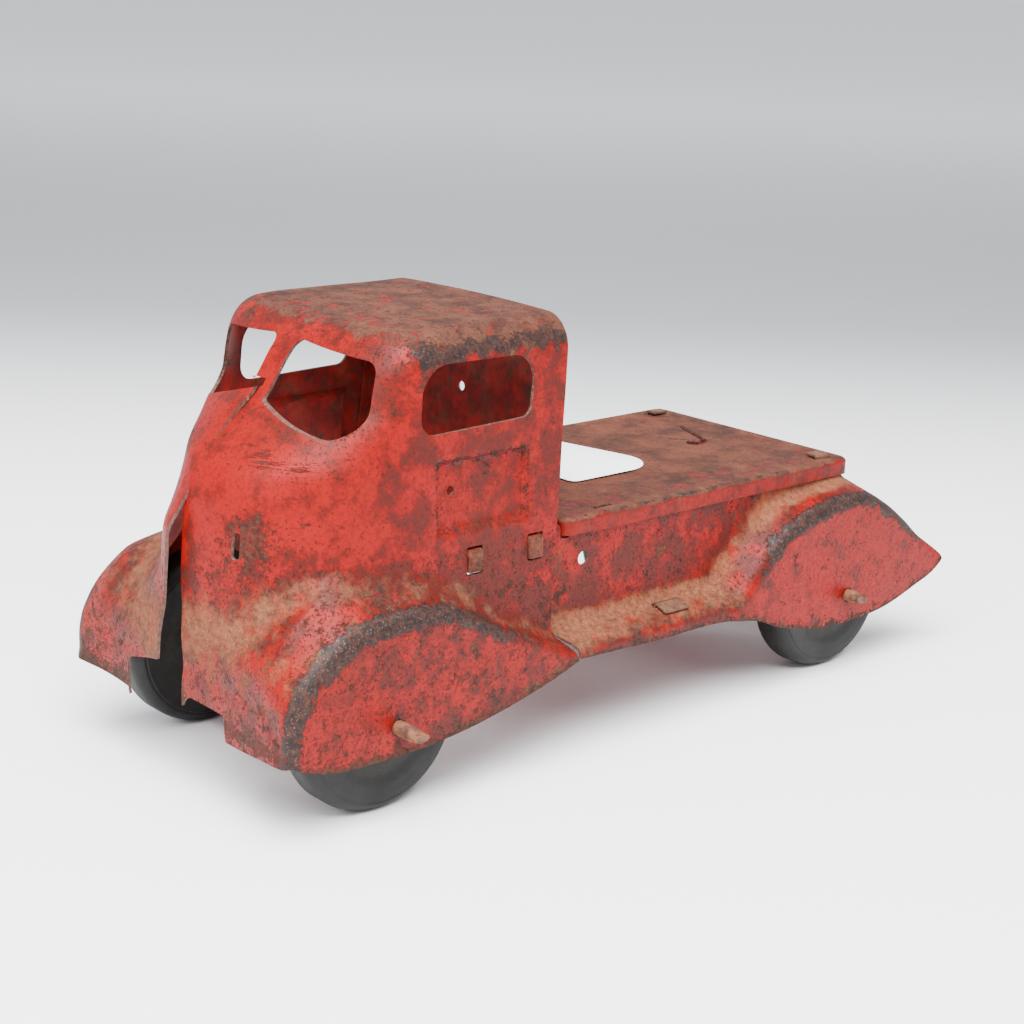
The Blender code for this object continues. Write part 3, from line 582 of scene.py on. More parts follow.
class Paint:
    """A material and short ways to add nodes to it."""

    def __init__(self, name):
        self.material = bpy.data.materials.new(name)
        self.material.use_nodes = True
        self.tree = self.material.node_tree
        self.surface = self.tree.nodes["Principled BSDF"]
        self.place = self.node("ShaderNodeTexCoord").outputs["Object"]

    def feed(self, socket, value):
        """Link another node's output to a socket, or set the socket to a number or colour."""
        if isinstance(value, bpy.types.NodeSocket):
            self.tree.links.new(value, socket)
        else:
            socket.default_value = value

    def node(self, kind, inputs=None, **settings):
        made = self.tree.nodes.new(kind)
        for key, value in settings.items():
            setattr(made, key, value)
        for key, value in (inputs or {}).items():
            self.feed(made.inputs[key], value)
        return made

    def noise(self, size_mm, detail=4.0, roughness=0.5, stretch=(1, 1, 1), shift=0.0):
        """Noise about 0.5 whose lumps are about this many millimetres across."""
        moved = self.node("ShaderNodeMapping", {"Vector": self.place, "Scale": stretch,
                                                "Location": (shift, shift, shift)})
        return self.node("ShaderNodeTexNoise", {"Vector": moved.outputs["Vector"],
                                                "Scale": 1 / (size_mm * MM), "Detail": detail,
                                                "Roughness": roughness}).outputs["Fac"]

    def attribute(self, name):
        return self.node("ShaderNodeAttribute", attribute_name=name).outputs["Fac"]

    def maths(self, operation, a, b=0.0):
        return self.node("ShaderNodeMath", {0: a, 1: b}, operation=operation).outputs[0]

    def plus_noise(self, value, grain, strength):
        """value + strength * (grain - 0.5)"""
        return self.maths("ADD", value, self.maths("MULTIPLY", self.maths("SUBTRACT", grain, 0.5), strength))

    def step(self, value, low, high, to_low=0.0, to_high=1.0):
        return self.node("ShaderNodeMapRange", {"Value": value, "From Min": low, "From Max": high,
                                                "To Min": to_low, "To Max": to_high},
                         interpolation_type="SMOOTHSTEP").outputs["Result"]

    def mix(self, share, a, b):
        """Colour a where share is 0 and colour b where it is 1."""
        made = self.node("ShaderNodeMix", data_type="RGBA")
        for key, value in ((0, share), (6, a), (7, b)):
            self.feed(made.inputs[key], (*value, 1) if isinstance(value, tuple) else value)
        return made.outputs[2]

    def blend(self, share, a, b):
        """Number a where share is 0 and number b where it is 1."""
        made = self.node("ShaderNodeMix", data_type="FLOAT")
        for key, value in ((0, share), (2, a), (3, b)):
            self.feed(made.inputs[key], value)
        return made.outputs[0]

    def tone(self, colour, saturation, value):
        return self.node("ShaderNodeHueSaturation", {"Color": colour, "Saturation": saturation,
                                                     "Value": value}).outputs["Color"]

    def finish(self, colour, roughness, metallic=None, height=None, depth_mm=0.1, specular=0.5):
        links = {"Base Color": colour, "Roughness": roughness, "Metallic": metallic}
        if height is not None:
            bump = self.node("ShaderNodeBump", {"Height": height, "Distance": depth_mm * MM, "Strength": 1.0})
            links["Normal"] = bump.outputs["Normal"]
        for key, value in links.items():
            if value is not None:
                self.feed(self.surface.inputs[key], value)
        self.surface.inputs["Specular IOR Level"].default_value = specular
        return self.material


def worn_paint(name, bright=(0.38, 0.0045, 0.0035), dull=(0.125, 0.012, 0.008),
               browns=((0.036, 0.014, 0.010), (0.19, 0.063, 0.036))):
    """Old red enamel: faded, speckled with rust, worn to the metal on its ridges, dusty in its hollows.

    The masks bright, oxide, wear, dust, rust and streak say where; noise breaks up their edges.
    """
    p = Paint(name)
    broad, blotch, grain = p.noise(34, 4), p.noise(9, 8, 0.68), p.noise(1.3, 5, 0.6)
    fresh = p.step(p.plus_noise(p.attribute("bright"), blotch, 3.0), 0.2, 0.75)
    red = p.mix(fresh, dull, bright)
    red = p.mix(p.step(broad, 0.4, 0.75, 0.0, 0.3), red, (0.17, 0.020, 0.012))
    red = p.mix(p.step(grain, 0.42, 0.72, 0.0, 0.35), red, (0.06, 0.013, 0.010))
    oxide = p.step(p.plus_noise(p.attribute("oxide"), p.noise(6, 10, 0.74, shift=0.3), 2.6), 0.46, 0.62)
    brown = p.mix(p.step(p.noise(13, 8, 0.72, shift=0.7), 0.32, 0.68), *browns)
    brown = p.mix(p.step(p.noise(0.9, 4, 0.7), 0.45, 0.7, 0.0, 0.6), brown, (0.035, 0.018, 0.014))
    colour = p.mix(oxide, red, brown)
    share = p.attribute("rust")
    large = p.step(p.plus_noise(share, p.noise(3.8, 10, 0.74, shift=1.4), 2.4), 0.69, 0.75)
    small = p.step(p.plus_noise(share, p.noise(0.9, 4, 0.65, shift=2.4), 2.4), 0.70, 0.80)
    runs = p.noise(3.4, 6, 0.7, (0.4, 0.4, 5), 6.0)
    streak = p.step(p.plus_noise(p.attribute("streak"), runs, 2.4), 0.74, 0.9)
    spots = p.maths("MAXIMUM", p.maths("MAXIMUM", large, small), streak)
    rust = p.mix(p.step(p.noise(1.5, 5, 0.65, shift=2.0), 0.35, 0.65), (0.022, 0.014, 0.011),
                 (0.10, 0.043, 0.026))
    colour = p.mix(p.maths("MULTIPLY", spots, 0.85), colour, rust)
    worn_edge = p.plus_noise(p.attribute("wear"), p.noise(4.4, 10, 0.78, shift=0.9), 2.6)
    primer = p.step(worn_edge, 0.44, 0.52)
    purple = p.mix(p.step(p.noise(1.8, 6, 0.7, shift=1.9), 0.4, 0.65), (0.026, 0.017, 0.016),
                   (0.09, 0.038, 0.027))
    colour = p.mix(primer, colour, purple)
    glint = p.step(p.noise(0.6, 4, 0.7, shift=3.1), 0.58, 0.68)
    bare = p.maths("MULTIPLY", p.step(worn_edge, 0.62, 0.75), glint)
    colour = p.mix(bare, colour, (0.30, 0.26, 0.24))
    dust = p.plus_noise(p.attribute("dust"), p.noise(7, 10, 0.7, shift=4.2), 1.8)
    dusty = p.step(dust, 0.25, 0.95, 0.0, 0.85)
    tan = p.mix(p.step(p.noise(2.0, 8, 0.7, shift=5.0), 0.3, 0.7), (0.21, 0.072, 0.036), (0.40, 0.155, 0.080))
    colour = p.mix(dusty, colour, tan)
    roughness = p.step(grain, 0.3, 0.7, 0.40, 0.54)
    for mask, value in ((oxide, 0.72), (spots, 0.8), (primer, 0.5), (bare, 0.35), (dusty, 0.9)):
        roughness = p.blend(mask, roughness, value)
    lost = p.maths("MAXIMUM", p.maths("MULTIPLY", oxide, 0.4), p.maths("MAXIMUM", spots, primer))
    height = p.plus_noise(p.maths("SUBTRACT", 1.0, lost), grain, 0.7)
    height = p.plus_noise(height, p.noise(4.5, 3), 0.8)
    metallic = p.maths("MAXIMUM", p.maths("MULTIPLY", bare, 0.8), p.maths("MULTIPLY", primer, 0.15))
    return p.finish(p.tone(colour, 1.03, 0.52), roughness, metallic, height, 0.16, 0.16)


def inside_paint():
    """The thin paint inside the pressings, with dust and rust."""
    p = Paint("dark_inside_paint")
    blotch, grain = p.noise(8, 7, 0.65), p.noise(1.2, 5, 0.65)
    colour = p.mix(p.step(blotch, 0.35, 0.65), (0.15, 0.010, 0.008), (0.42, 0.020, 0.014))
    rust = p.step(p.noise(5, 10, 0.75, shift=1.0), 0.53, 0.62)
    colour = p.mix(rust, colour, p.mix(grain, (0.045, 0.024, 0.018), (0.16, 0.075, 0.045)))
    dust = p.step(p.noise(14, 6, 0.7, shift=2.0), 0.45, 0.8, 0.0, 0.6)
    colour = p.mix(dust, colour, (0.27, 0.115, 0.065))
    return p.finish(colour, p.blend(rust, 0.6, 0.85), None, p.plus_noise(blotch, grain, 0.7), 0.15)


def bare_edge():
    """The cut edges of the sheet: dull steel with rust and a rim of paint."""
    p = Paint("cut_sheet_edge")
    grain = p.noise(1.6, 8, 0.7)
    colour = p.mix(p.step(grain, 0.4, 0.55), (0.095, 0.045, 0.028), (0.055, 0.018, 0.012))
    # painted highlight: small pale specks stand in for glints along the cut edge
    colour = p.mix(p.step(p.noise(0.7, 3, shift=1.0), 0.6, 0.72), colour, (0.24, 0.17, 0.12))
    return p.finish(colour, 0.6, None, grain, 0.1)


def rusty_steel(name="rusty_steel", light=(0.15, 0.056, 0.026), dark=(0.035, 0.019, 0.014)):
    p = Paint(name)
    blotch, grain = p.noise(3.5, 8, 0.7), p.noise(0.7, 5, 0.7)
    colour = p.mix(p.step(blotch, 0.38, 0.66), light, dark)
    colour = p.mix(p.step(grain, 0.5, 0.7, 0.0, 0.6), colour, (0.20, 0.092, 0.046))
    metallic = p.step(p.noise(2.2, 6, 0.7, shift=2.0), 0.55, 0.68, 0.0, 0.7)
    roughness = p.step(grain, 0.3, 0.7, 0.5, 0.8)
    return p.finish(colour, roughness, metallic, p.plus_noise(blotch, grain, 0.8), 0.2, 0.25)


def black_rubber():
    """Old rubber: dark, greyed by dust on its flat face, with faint marks."""
    p = Paint("old_black_rubber")
    broad, grain = p.noise(11, 7, 0.66), p.noise(0.9, 5, 0.65)
    colour = p.mix(p.step(broad, 0.3, 0.75), (0.010, 0.010, 0.0095), (0.024, 0.022, 0.020))
    dust = p.plus_noise(p.attribute("dust"), p.noise(5, 8, 0.7, shift=1.0), 1.0)
    dusty = p.step(dust, 0.35, 1.0, 0.0, 0.75)
    colour = p.mix(dusty, colour, p.mix(grain, (0.035, 0.029, 0.022), (0.095, 0.078, 0.058)))
    scuff = p.step(p.noise(1.6, 6, 0.75, shift=2.0), 0.66, 0.72, 0.0, 0.35)
    colour = p.mix(scuff, colour, (0.12, 0.11, 0.095))
    height = p.plus_noise(broad, grain, 0.8)
    return p.finish(p.tone(colour, 1.0, 0.6), p.blend(dusty, 0.5, 0.85), None, height, 0.12, 0.2)


def white_paper():
    p = Paint("blank_white_paper")
    fibre = p.noise(0.5, 4, 0.6, (1, 3, 1))
    colour = p.mix(p.step(fibre, 0.3, 0.7), (0.80, 0.82, 0.84), (0.90, 0.91, 0.92))
    colour = p.mix(p.step(p.noise(9, 5, 0.7), 0.6, 0.8, 0.0, 0.3), colour, (0.55, 0.52, 0.48))
    return p.finish(colour, 0.55, None, fibre, 0.03)


# -------------------- cab

def cab_masks(points):
    x, y, z = closed_again(points).T
    aside = np.abs(x)
    top = front_fender_top(x, y, z)
    ridge = above_both(SKIRT_X - aside, -top)
    wall = cab_walls(x, y, z)
    valley = above_both(wall, top)
    low = z < 75
    skirt = ease((aside - 54) / 4) * low
    nose = ease((-66 - y) / 12)
    roof = ease((z - 127) / 10)
    header = bell(y + 64, 13) * bell(z - 133, 9)
    shoulder = bell(aside - 44.5, 3.5) * bell(z - 134.5, 4.5) * ease((y + 62) / 14)
    border = bell(inside_door_panel(y, z) - 0.8, 1.2) * (aside > 40) * (z > 75)
    lamp = bell(np.hypot(aside - LAMP_SLOT_X - 3, z - 82), 7) * nose
    under_glass = bell(z - 107.5 + 0.12 * aside, 3) * bell(aside - 26, 14) * nose
    window = bell(np.hypot((y + 44) / 1.4, z - 126), 7) * (aside > 38)
    apron = nose * low * (1 - skirt)
    foot = bell(z - SKIRT_BOTTOM(y), 2.2) * skirt + bell(z - 27, 3) * apron
    return {
        "bright": 0.46 + 0.2 * np.maximum(nose, skirt) - 0.25 * bell(valley, 14) * low,
        "oxide": 0.16 + 0.60 * roof - 0.55 * header + 0.22 * bell(valley, 10) * low + 0.28 * foot
                 + 0.22 * low * ease((-x - 20) / 10) - 0.12 * (z > 75) * (z < 125),
        "wear": 0.80 * bell(ridge - 1.6, 3.2) * low * ease((-2 - y) / 30)
                + 0.62 * shoulder + 0.3 * border + 0.35 * window,
        "dust": 0.5 * bell(valley, 6) * low + 0.30 * bell(z - 50, 15) * apron + 0.1 * roof + 0.1 * nose,
        "rust": 0.42 + 0.08 * roof + 0.42 * lamp + 0.2 * border + 0.1 * low + 0.3 * foot + 0.2 * window,
        "streak": 0.18 + 0.14 * nose * (1 - low) + 0.5 * under_glass,
    }


def make_cab(materials):
    stations = np.concatenate([np.linspace(0, CORNER_STATION, 44)[:-1],
                               np.linspace(CORNER_STATION, 1, 44)[:-1], np.linspace(1, 2, 42)])
    columns = 150
    y_edge = cab_point(stations, SKIRT_X / np.sin(np.clip(stations, 0.3, 1) * math.pi / 2), AXLE_Z)[1]
    apron_z = 21.5 + 4 * (stations / CORNER_STATION) ** 4
    apron_reach = crossing(lambda q: cab_field(*cab_point(stations, q, apron_z)), np.zeros(len(stations)),
                           130)
    on_apron = stations < CORNER_STATION
    edge_z = np.where(on_apron, apron_z, SKIRT_BOTTOM(y_edge))
    skirt_reach = SKIRT_X / np.sin(np.clip(stations, CORNER_STATION, 1) * math.pi / 2)
    edge_reach = np.where(on_apron, apron_reach, skirt_reach)
    left = section_rows(cab_point, cab_field, stations, edge_reach, edge_z, columns)
    press_door_panel(left)
    right = left * (-1, 1, 1)
    beat(left, 0.35, 26, 0.0)
    beat(right, 0.35, 26, 4.0)
    flatten_side(right)
    spring_open(right)
    cab = sheet_shell("cab_pressing", left, right, materials)
    tools = [(rounded(WINDSHIELD), "y", -95, -46), (rounded(RIGHT_WINDSHIELD), "y", -95, -46),
             (rounded(DOOR_WINDOW), "x", -60, 60), (disc(-39, 93, 1.5, 20), "x", -60, 60),
             (rounded([(-2, 10, 0), (23, 10, 0), (23, 30, 1.5), (0.3, 30, 6)]), "y", -112, -85),
             (disc(FRONT_AXLE_Y, AXLE_Z, BORE_R), "x", -64, 64)]
    for side in (-1, 1):
        tools.append((slot(side * LAMP_SLOT_X, 80.5, 2.6, 8, 1), "y", -120, -80))
        tools += [(slot(y, TAB_SLOT_Z, 6.4, 8.6), "x", side * 50 - 8, side * 50 + 8) for y in TAB_SLOTS_Y]
    cut(cab, tools[2:])
    for tool in tools[:2] + [(rounded(RIGHT_APRON), "y", -125, -85), (RIGHT_CORNER_FOOT, "y", -125, -101.5)]:
        cut(cab, [tool])
    clean_up(cab, outwards=False)
    keep_in_box(cab, "cab_shell")
    write_masks(cab, cab_masks(working(cab.data)))
    shade(cab)
    finish_piece(cab, "truck", ["cab_shell"])


def make_cab_back(material):
    """The plate that closes the cab's back, with its rim turned forwards inside the pressing."""
    inset = SHEET + GAP + 0.3

    def outline(rim):
        corners = []
        for z in (REAR_WALL_FOOT_Z, ROOF_Z - inset):
            half = CAB_HALF_WIDTH - CAB_LEAN_IN * (z - CAB_FOOT_Z) - inset - rim
            corners.append((half, z + (rim if z < 100 else -rim), 2 if z < 100 else SHOULDER_R - inset - rim))
        (low_x, low_z, low_r), (high_x, high_z, high_r) = corners
        return rounded([(-low_x, low_z, low_r), (low_x, low_z, low_r), (high_x, high_z - 1, high_r),
                        (-high_x, high_z - 1, high_r)], 10)

    bends = [(0, -6.5), (0, -4.4), (0, -2.6), (0.15, -1.8), (0.6, -1.2), (1.2, -1.0)]
    points = [(x, CAB_LEAN_BACK * (z - CAB_FOOT_Z) + y, z) for rim, y in bends for x, z in outline(rim)]
    count = len(outline(0))
    faces = [[a, d, c, b] for a, b, c, d in tube_faces(len(bends), count)]
    faces.append([(len(bends) - 1) * count + i for i in range(count)][::-1])
    wall = add_object("cab_back_plate", place(points), faces)
    wall.data.materials.append(material)
    modifier = wall.modifiers.new("sheet", "SOLIDIFY")
    modifier.thickness = 0.8 * MM
    modifier.offset = -1
    modifier.use_even_offset = True
    settle(wall)
    cut(wall, [(disc(0, 111, 1.6, 24), "y", -20, 20)])
    clean_up(wall)
    shade(wall)
    finish_piece(wall, "truck", ["cab_rear_wall"])


# -------------------- body and deck

def body_masks(points):
    x, y, z = points.T
    aside = np.abs(x)
    side_x = body_side_x(y)
    fender = rear_fender_top(x, y, z)
    top = np.minimum(board_top(x, y, z), fender)
    ridge = above_both(side_x - aside, -fender)
    board_edge = above_both(side_x - aside, -top) + 40 * ease((y - 84) / 12)
    wall = body_box(x, y, z)
    valley = above_both(wall, top)
    on_board = bell(top, 2.5) * ease((92 - y) / 16)
    skirt = ease((aside - 55.5) / 2.5)
    inner_strip = bell(aside - 48.5, 4) * ease((y - 84) / 20) * ease((166 - y) / 20)
    near_cab = bell(y - 4, 12)
    foot = bell(z - BODY_BOTTOM(y), 2.0) * skirt
    return {
        "bright": 0.34 + 0.34 * skirt * ease((y - 88) / 14) + 0.15 * bell(z - 68, 6),
        "oxide": 0.22 + 0.2 * on_board + 0.2 * inner_strip + 0.1 * near_cab + 0.3 * foot,
        "wear": 0.80 * bell(ridge - 1.6, 3.2) * ease((y - 84) / 16) * ease((192 - y) / 26)
                + 0.35 * bell(board_edge - 1.2, 1.6),
        "dust": 0.5 * bell(valley, 5) + 0.62 * on_board + 0.5 * inner_strip + 0.28 * near_cab,
        "rust": 0.44 + 0.12 * on_board + 0.3 * foot,
        "streak": 0.2 + 0.06 * (aside < 47),
    }


def make_body(materials):
    turn_in = BODY_END_Y - 4 + 4 * np.sin(np.linspace(0, math.pi / 2, 12))
    stations = np.concatenate([np.arange(0, BODY_END_Y - 4.5, 1.35), turn_in, [146.15, 146.5, 147.3],
                               np.arange(148.4, TAIL_Y - 1, 1.35), [TAIL_Y]])
    left = section_rows(body_point, body_field, stations, body_side_x(stations), BODY_BOTTOM(stations), 120)
    right = left * (-1, 1, 1)
    for grid, seed in ((left, 8.0), (right, 12.0)):
        still = grid.copy()
        beat(grid, 0.3, 30, seed)
        grid[...] = np.where(still[..., 2:] > 68, still, grid)
    body = sheet_shell("body_pressing", left, right, materials)
    tools = [(rounded([(-38, 12, 3), (38, 12, 3), (38, 141, 3), (-38, 141, 3)]), "z", 72, 78),
             (rounded([(-45, 168, 10), (45, 168, 10), (45, 200, 0), (-45, 200, 0)]), "z", 20, 90),
             (disc(REAR_AXLE_Y, AXLE_Z, BORE_R), "x", -64, 64)]
    for side in (-1, 1):
        wall = side * (BODY_HALF_WIDTH - 0.6)
        tools.append((disc(17, 62, 2.3), "x", wall - 4, wall + 4))
        tools.append((slot(side * 49.3, 53, 2.0, 12.6, 0.5), "z", 30, 50))
    cut(body, tools)
    cut(body, [([(-50, DECK_FRONT_Y - 0.5), (50, DECK_FRONT_Y - 0.5), (50, DECK_FRONT_Y + 3.3),
                 (-50, DECK_FRONT_Y + 3.3)], "z", DECK_RIM_Z - 0.6, 80)])
    clean_up(body, outwards=False)
    keep_in_box(body, "body_shell")
    write_masks(body, body_masks(working(body.data)))
    shade(body)
    finish_piece(body, "truck", ["body_shell"])


def flat_masks(item, **levels):
    """The same mask values all over a small piece."""
    count = len(item.data.vertices)
    names = ("bright", "oxide", "wear", "dust", "rust", "streak")
    write_masks(item, {name: np.full(count, levels.get(name, 0.2)) for name in names})


def strip_outline(line, thickness):
    """The outline of a strip of an even thickness along a (u, v) centreline."""
    line = np.array(line, float)
    along = np.gradient(line, axis=0)
    along /= np.linalg.norm(along, axis=1, keepdims=True)
    aside = np.stack([-along[:, 1], along[:, 0]], axis=1) * thickness / 2
    return [tuple(p) for p in line + aside] + [tuple(p) for p in (line - aside)[::-1]]


def bend_line(corners, segments=6):
    """A centreline through (u, v, radius) corners, with its ends as they are."""
    return rounded([(*corners[0][:2], 0), *corners[1:-1], (*corners[-1][:2], 0)], segments)


def make_tabs(paint, steel):
    """The body's tabs: square ends in the cab's slots and strips folded over the deck."""
    for side, label in ((1, "left"), (-1, "right")):
        for k, y in enumerate(TAB_SLOTS_Y):
            low, high = sorted((side * (BODY_HALF_WIDTH - 1), side * 49.3))
            tab = block(f"cab_tab_{label}_{k + 1}", slot(y, 70.6, 5.8, 7.2, 0.8), "x", low, high, 0.35)
            tab.data.materials.append(paint)
            flat_masks(tab, bright=0.35, oxide=0.5, wear=0.2, dust=0.5, rust=0.5)
            finish_piece(tab, "truck")
        for k, y in enumerate(DECK_TABS_Y):
            if side > 0 and k == 0:
                continue
            line = bend_line([(side * DECK_TAB_X, 73, 0), (side * DECK_TAB_X, DECK_TOP_Z + 1, 1.0),
                              (side * 37.6, DECK_TOP_Z + 0.95, 0)])
            tab = block(f"deck_tab_{label}_{k + 1}", strip_outline(line, 1.0), "y", y - 3.4, y + 3.4, 0.25)
            tab.data.materials.append(steel)
            finish_piece(tab, "truck")


def deck_masks(points):
    x, y, z = points.T
    edge = np.minimum(DECK_HALF_WIDTH - np.abs(x), np.minimum(y - DECK_FRONT_Y, DECK_BACK_Y - y))
    rim = ease((DECK_TOP_Z - 0.5 - z) / 1.2)
    crease = bell(edge - 1.0, 1.1) * bell(z - DECK_TOP_Z + 0.3, 0.9)
    worn_run = bell(y - 62, 30) * (x > 0)
    return {
        "bright": 0.25 + 0.4 * rim,
        "oxide": 0.86 - 0.55 * rim - 0.2 * bell(edge - 8, 9) * (x > 0),
        "wear": crease * (0.3 + 0.4 * worn_run) + 0.15 * bell(edge - 4, 3) * worn_run,
        "dust": 0.16 + 0.2 * bell(edge - 2, 4) - 0.14 * rim,
        "rust": 0.34,
        "streak": 0.2 - 0.1 * rim,
    }


def make_deck(materials):
    """The lid over the body: its rim is turned down, it sags a little, and a V is torn in it."""
    outer = np.array(rounded([(-DECK_HALF_WIDTH, DECK_FRONT_Y, 4), (DECK_HALF_WIDTH, DECK_FRONT_Y, 4),
                              (DECK_HALF_WIDTH, DECK_BACK_Y, 4), (-DECK_HALF_WIDTH, DECK_BACK_Y, 4)], 6))
    dense = []
    for here, there in zip(outer, np.roll(outer, -1, axis=0)):
        steps = max(1, round(np.linalg.norm(there - here) / 2))
        dense += [here + (there - here) * k / steps for k in range(steps)]
    outer = np.array(dense)
    middle = np.array((0, (DECK_FRONT_Y + DECK_BACK_Y) / 2))
    size = np.array((DECK_HALF_WIDTH, (DECK_BACK_Y - DECK_FRONT_Y) / 2))
    loops = [(0, z) for z in np.linspace(DECK_RIM_Z, DECK_TOP_Z - DECK_BEND_R, 4)]
    loops += [(DECK_BEND_R * (1 - math.cos(t)), DECK_TOP_Z - DECK_BEND_R * (1 - math.sin(t)))
              for t in np.linspace(0.25, math.pi / 2, 6)]
    loops += [(amount, DECK_TOP_Z) for amount in np.linspace(3, DECK_HALF_WIDTH - 0.4, 30)]
    rows = []
    for amount, z in loops:
        flat = (outer - middle) * (1 - amount / size) + middle
        rows.append(np.column_stack([flat, np.full(len(flat), z)]))
    grid = np.array(rows)
    sag = np.array([noise.noise(Vector(p) / 24) for p in grid.reshape(-1, 3)]).reshape(grid.shape[:2])
    inner = ease((np.array([amount for amount, _ in loops]) - 2) / 10)[:, None]
    grid[..., 2] -= 0.35 * np.clip(sag + 0.3, 0, 1) * inner
    rim = 1 - ease((grid[..., 2] - DECK_RIM_Z) / 4)
    grid[..., 2] += 0.45 * rim * np.clip(sag * 2, 0, 1)
    count = len(outer)
    faces = tube_faces(len(loops), count)
    faces.append([(len(loops) - 1) * count + i for i in range(count)])
    deck = add_object("deck_lid", place(grid), faces)
    clean_up(deck, outwards=False)
    for material in materials:
        deck.data.materials.append(material)
    modifier = deck.modifiers.new("sheet", "SOLIDIFY")
    modifier.thickness = SHEET * MM
    modifier.offset = -1
    modifier.use_even_offset = True
    modifier.material_offset = 1
    modifier.material_offset_rim = 2
    settle(deck)
    tools = [(slot(side * DECK_TAB_X, y, 2.2, 8.4, 0.5), "z", 70, 80)
             for side in (-1, 1) for y in DECK_TABS_Y]
    cut(deck, tools + [(TORN_V, "z", 70, 80)])
    clean_up(deck, outwards=False)
    keep_in_box(deck, "deck_plate")
    write_masks(deck, deck_masks(working(deck.data)))
    shade(deck)
    finish_piece(deck, "truck", ["deck_plate"])


def make_strap(material):
    """The strap under the running boards, its ends folded out over them."""
    corners = [(54.9, 39.6, 0), (49.4, 41.6, 0.8), (49.3, 36.1, 0.8), (-49.3, 36.1, 0.8), (-49.4, 41.6, 0.8),
               (-54.9, 39.6, 0)]
    strap = block("cross_strap_bar", strip_outline(bend_line(corners), 0.9), "y", *STRAP_Y, 0.2)
    strap.data.materials.append(material)
    finish_piece(strap, "truck", ["cross_strap"])


def make_label(material):
    """A blank paper sticker on the deck."""
    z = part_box("paper_label")[0].z / MM
    label = block("blank_sticker", rounded(LABEL, 10), "z", z, z + 0.25, 0.06)
    label.data.materials.append(material)
    finish_piece(label, "truck", ["paper_label"])


# -------------------- wheels and axles

def turned(name, profile, sides, centre):
    """A body of revolution about X from (x, radius) points that run round its closed section."""
    count = len(profile)
    points = [(x * MM, r * math.cos(2 * math.pi * k / sides) * MM, r * math.sin(2 * math.pi * k / sides) * MM)
              for k in range(sides) for x, r in profile]
    faces = [[k * count + i, k * count + (i + 1) % count, (k + 1) % sides * count + (i + 1) % count,
              (k + 1) % sides * count + i] for k in range(sides) for i in range(count)]
    item = add_object(name, points, faces)
    clean_up(item)
    item.location = centre
    return item


def make_wheel(node_name, material):
    low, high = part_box(node_name)
    half = WHEEL_WIDTH / 2
    face = [(half - 1.2, BORE_R), (half - 1, BORE_R + 0.3), (half - 1, 6.0), (half - 1.15, 6.8),
            (half - 1.45, 7.6), (half - 1.6, 8.6), (half - 1.55, 12), (half - 1.4, 16.8), (half - 1.2, 18.4),
            (half - 0.7, 19.8), (half - 0.45, 21.4), (half - 0.25, 23.2), (half - 0.1, 24.6),
            (half - 0.15, 25.1), (half - 0.45, 25.3), (half - 0.5, 25.7), (half - 0.4, 26.0),
            (half - 0.75, 26.6), (half - 1.3, 27.3), (half - 2.2, 28.05), (half - 3.2, 28.6),
            (half - 4.5, WHEEL_R), (half - 6, WHEEL_R)]
    profile = face + [(-x, r) for x, r in reversed(face)]
    wheel = turned("tyre_" + node_name.removeprefix("wheel_"), profile, 96, (low + high) / 2)
    points = np.array([v.co for v in wheel.data.vertices]) / MM
    radius = np.hypot(points[:, 1], points[:, 2])
    disc_face = bell(radius - 15, 7) + 0.3 * bell(radius - 24, 3)
    write_masks(wheel, {"dust": 0.1 + 0.5 * disc_face})
    wheel.data.materials.append(material)
    shade(wheel, 50)
    finish_piece(wheel, node_name, [node_name])


def make_axle(node_name, half_length, material):
    """A rod with crimps that keep the wheels in place and with pinched ends."""
    low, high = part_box(node_name)
    sides = 28
    inner = WHEEL_X - WHEEL_WIDTH / 2 - CRIMP_CLEARANCE
    outer = WHEEL_X + WHEEL_WIDTH / 2 + CRIMP_CLEARANCE

    def section(x):
        """Half of the rod's width across and up at a distance from the middle."""
        pinch = ease((abs(x) - half_length + 5) / 2.6)
        crimp = max(bell(abs(x) - inner, 0.9), bell(abs(x) - outer, 0.9))
        squeeze = max(pinch, crimp)
        end = 1 - 0.25 * ease((abs(x) - half_length + 0.5) / 0.5)
        return ((AXLE_R + (0.6 if pinch > crimp else 0.8) * squeeze) * end, (AXLE_R - 1.0 * squeeze) * end)

    near = np.concatenate([np.linspace(inner - 3, inner + 3, 17), np.linspace(outer - 3, outer + 3, 17),
                           np.linspace(half_length - 5, half_length, 15)])
    stations = sorted(set(np.round(np.concatenate([near, -near, np.linspace(-inner + 3, inner - 3, 20)]), 3)))
    points = []
    for x in stations:
        across, up = section(x)
        points += [(x * MM, across * math.cos(t) * MM, up * math.sin(t) * MM)
                   for t in np.linspace(0, 2 * math.pi, sides, endpoint=False)]
    last = len(stations) - 1
    faces = tube_faces(len(stations), sides)
    faces += [list(range(sides)), list(range(last * sides, (last + 1) * sides))]
    axle = add_object(node_name + "_rod", points, faces)
    clean_up(axle)
    axle.location = (low + high) / 2
    axle.data.materials.append(material)
    shade(axle, 50)
    finish_piece(axle, node_name, [node_name])


# -------------------- floor, light and camera

def make_stage():
    """A pale floor: white round the truck, with a grey band of painted shade a little way behind it, and
    lighter again in the distance.
    """
    size = 14
    floor = add_object("floor", [(-size, -size, 0), (size, -size, 0), (size, size, 0), (-size, size, 0)],
                       [(0, 1, 2, 3)])
    p = Paint("pale_floor")
    behind = p.node("ShaderNodeVectorMath", {0: p.place, 1: (-0.74, 0.67, 0)}, operation="DOT_PRODUCT")
    behind = behind.outputs["Value"]
    # painted shade: the floor turns grey a little way behind the truck, then pale again further off
    colour = p.mix(p.step(behind, 0.15, 0.75), (0.88, 0.885, 0.895), (0.31, 0.32, 0.33))
    colour = p.mix(p.step(behind, 0.8, 3.0), colour, (0.90, 0.90, 0.895))
    floor.data.materials.append(p.finish(colour, 0.8, specular=0.1))


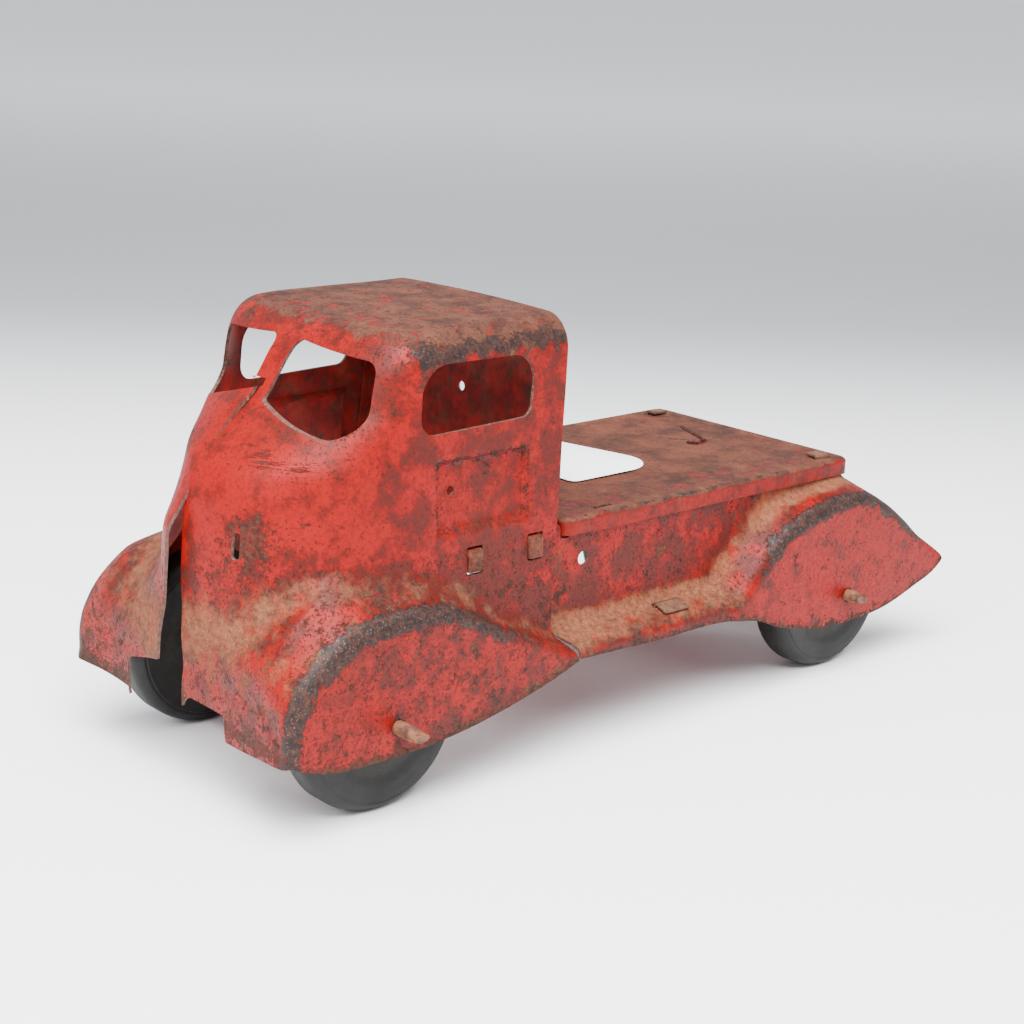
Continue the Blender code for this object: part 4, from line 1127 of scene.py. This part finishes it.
def area_light(name, location, target, size, power, colour=(1, 1, 1)):
    data = bpy.data.lights.new(name, "AREA")
    data.shape = "RECTANGLE"
    data.size, data.size_y = size
    data.energy = power
    data.color = colour
    light = bpy.data.objects.new(name, data)
    light.location = location
    light.rotation_mode = "QUATERNION"
    light.rotation_quaternion = (Vector(target) - Vector(location)).to_track_quat("-Z", "Y")
    bpy.context.scene.collection.objects.link(light)


def make_light():
    world = bpy.data.worlds.new("studio")
    bpy.context.scene.world = world
    world.use_nodes = True
    background = world.node_tree.nodes["Background"]
    background.inputs["Color"].default_value = (0.93, 0.95, 1.0, 1)
    background.inputs["Strength"].default_value = 1.05
    area_light("overhead_softbox", (0.45, -0.4, 1.25), (0, 0, 0.05), (1.2, 1.2), 100)
    area_light("front_softbox", (0.0, -1.4, 1.0), (0, -0.08, 0.06), (0.6, 0.6), 15)


CAMERA_AT = (468.8, -400.9, 246.1)
CAMERA_LOOK = (-0.70963, 0.64878, -0.27479)
CAMERA_ROLL = math.radians(2.0)
CAMERA_LENS = 68.8


def make_camera():
    data = bpy.data.cameras.new("camera")
    data.lens = CAMERA_LENS
    camera = bpy.data.objects.new("camera", data)
    camera.location = place(CAMERA_AT)[0]
    camera.rotation_mode = "QUATERNION"
    level = Vector(CAMERA_LOOK).to_track_quat("-Z", "Y")
    camera.rotation_quaternion = level @ Matrix.Rotation(CAMERA_ROLL, 3, "Z").to_quaternion()
    bpy.context.scene.collection.objects.link(camera)
    bpy.context.scene.camera = camera


# -------------------- the truck

outside = worn_paint("worn_red_paint")
deck_paint = worn_paint("oxidised_deck_paint", (0.30, 0.010, 0.007),
                        browns=((0.05, 0.020, 0.013), (0.20, 0.060, 0.034)))
inside = inside_paint()
edge = bare_edge()
steel = rusty_steel()
tab_steel = rusty_steel("brown_tab_steel", (0.11, 0.042, 0.022), (0.035, 0.017, 0.012))
rubber = black_rubber()

make_cab([outside, inside, edge])
make_cab_back(inside)
make_body([outside, inside, edge])
make_tabs(outside, tab_steel)
make_deck([deck_paint, inside, edge])
make_strap(tab_steel)
make_label(white_paper())
make_axle("front_axle", FRONT_ROD_HALF_LENGTH, steel)
make_axle("rear_axle", REAR_ROD_HALF_LENGTH, steel)
for wheel in ("wheel_front_left", "wheel_front_right", "wheel_rear_left", "wheel_rear_right"):
    make_wheel(wheel, rubber)

make_stage()
make_light()
make_camera()
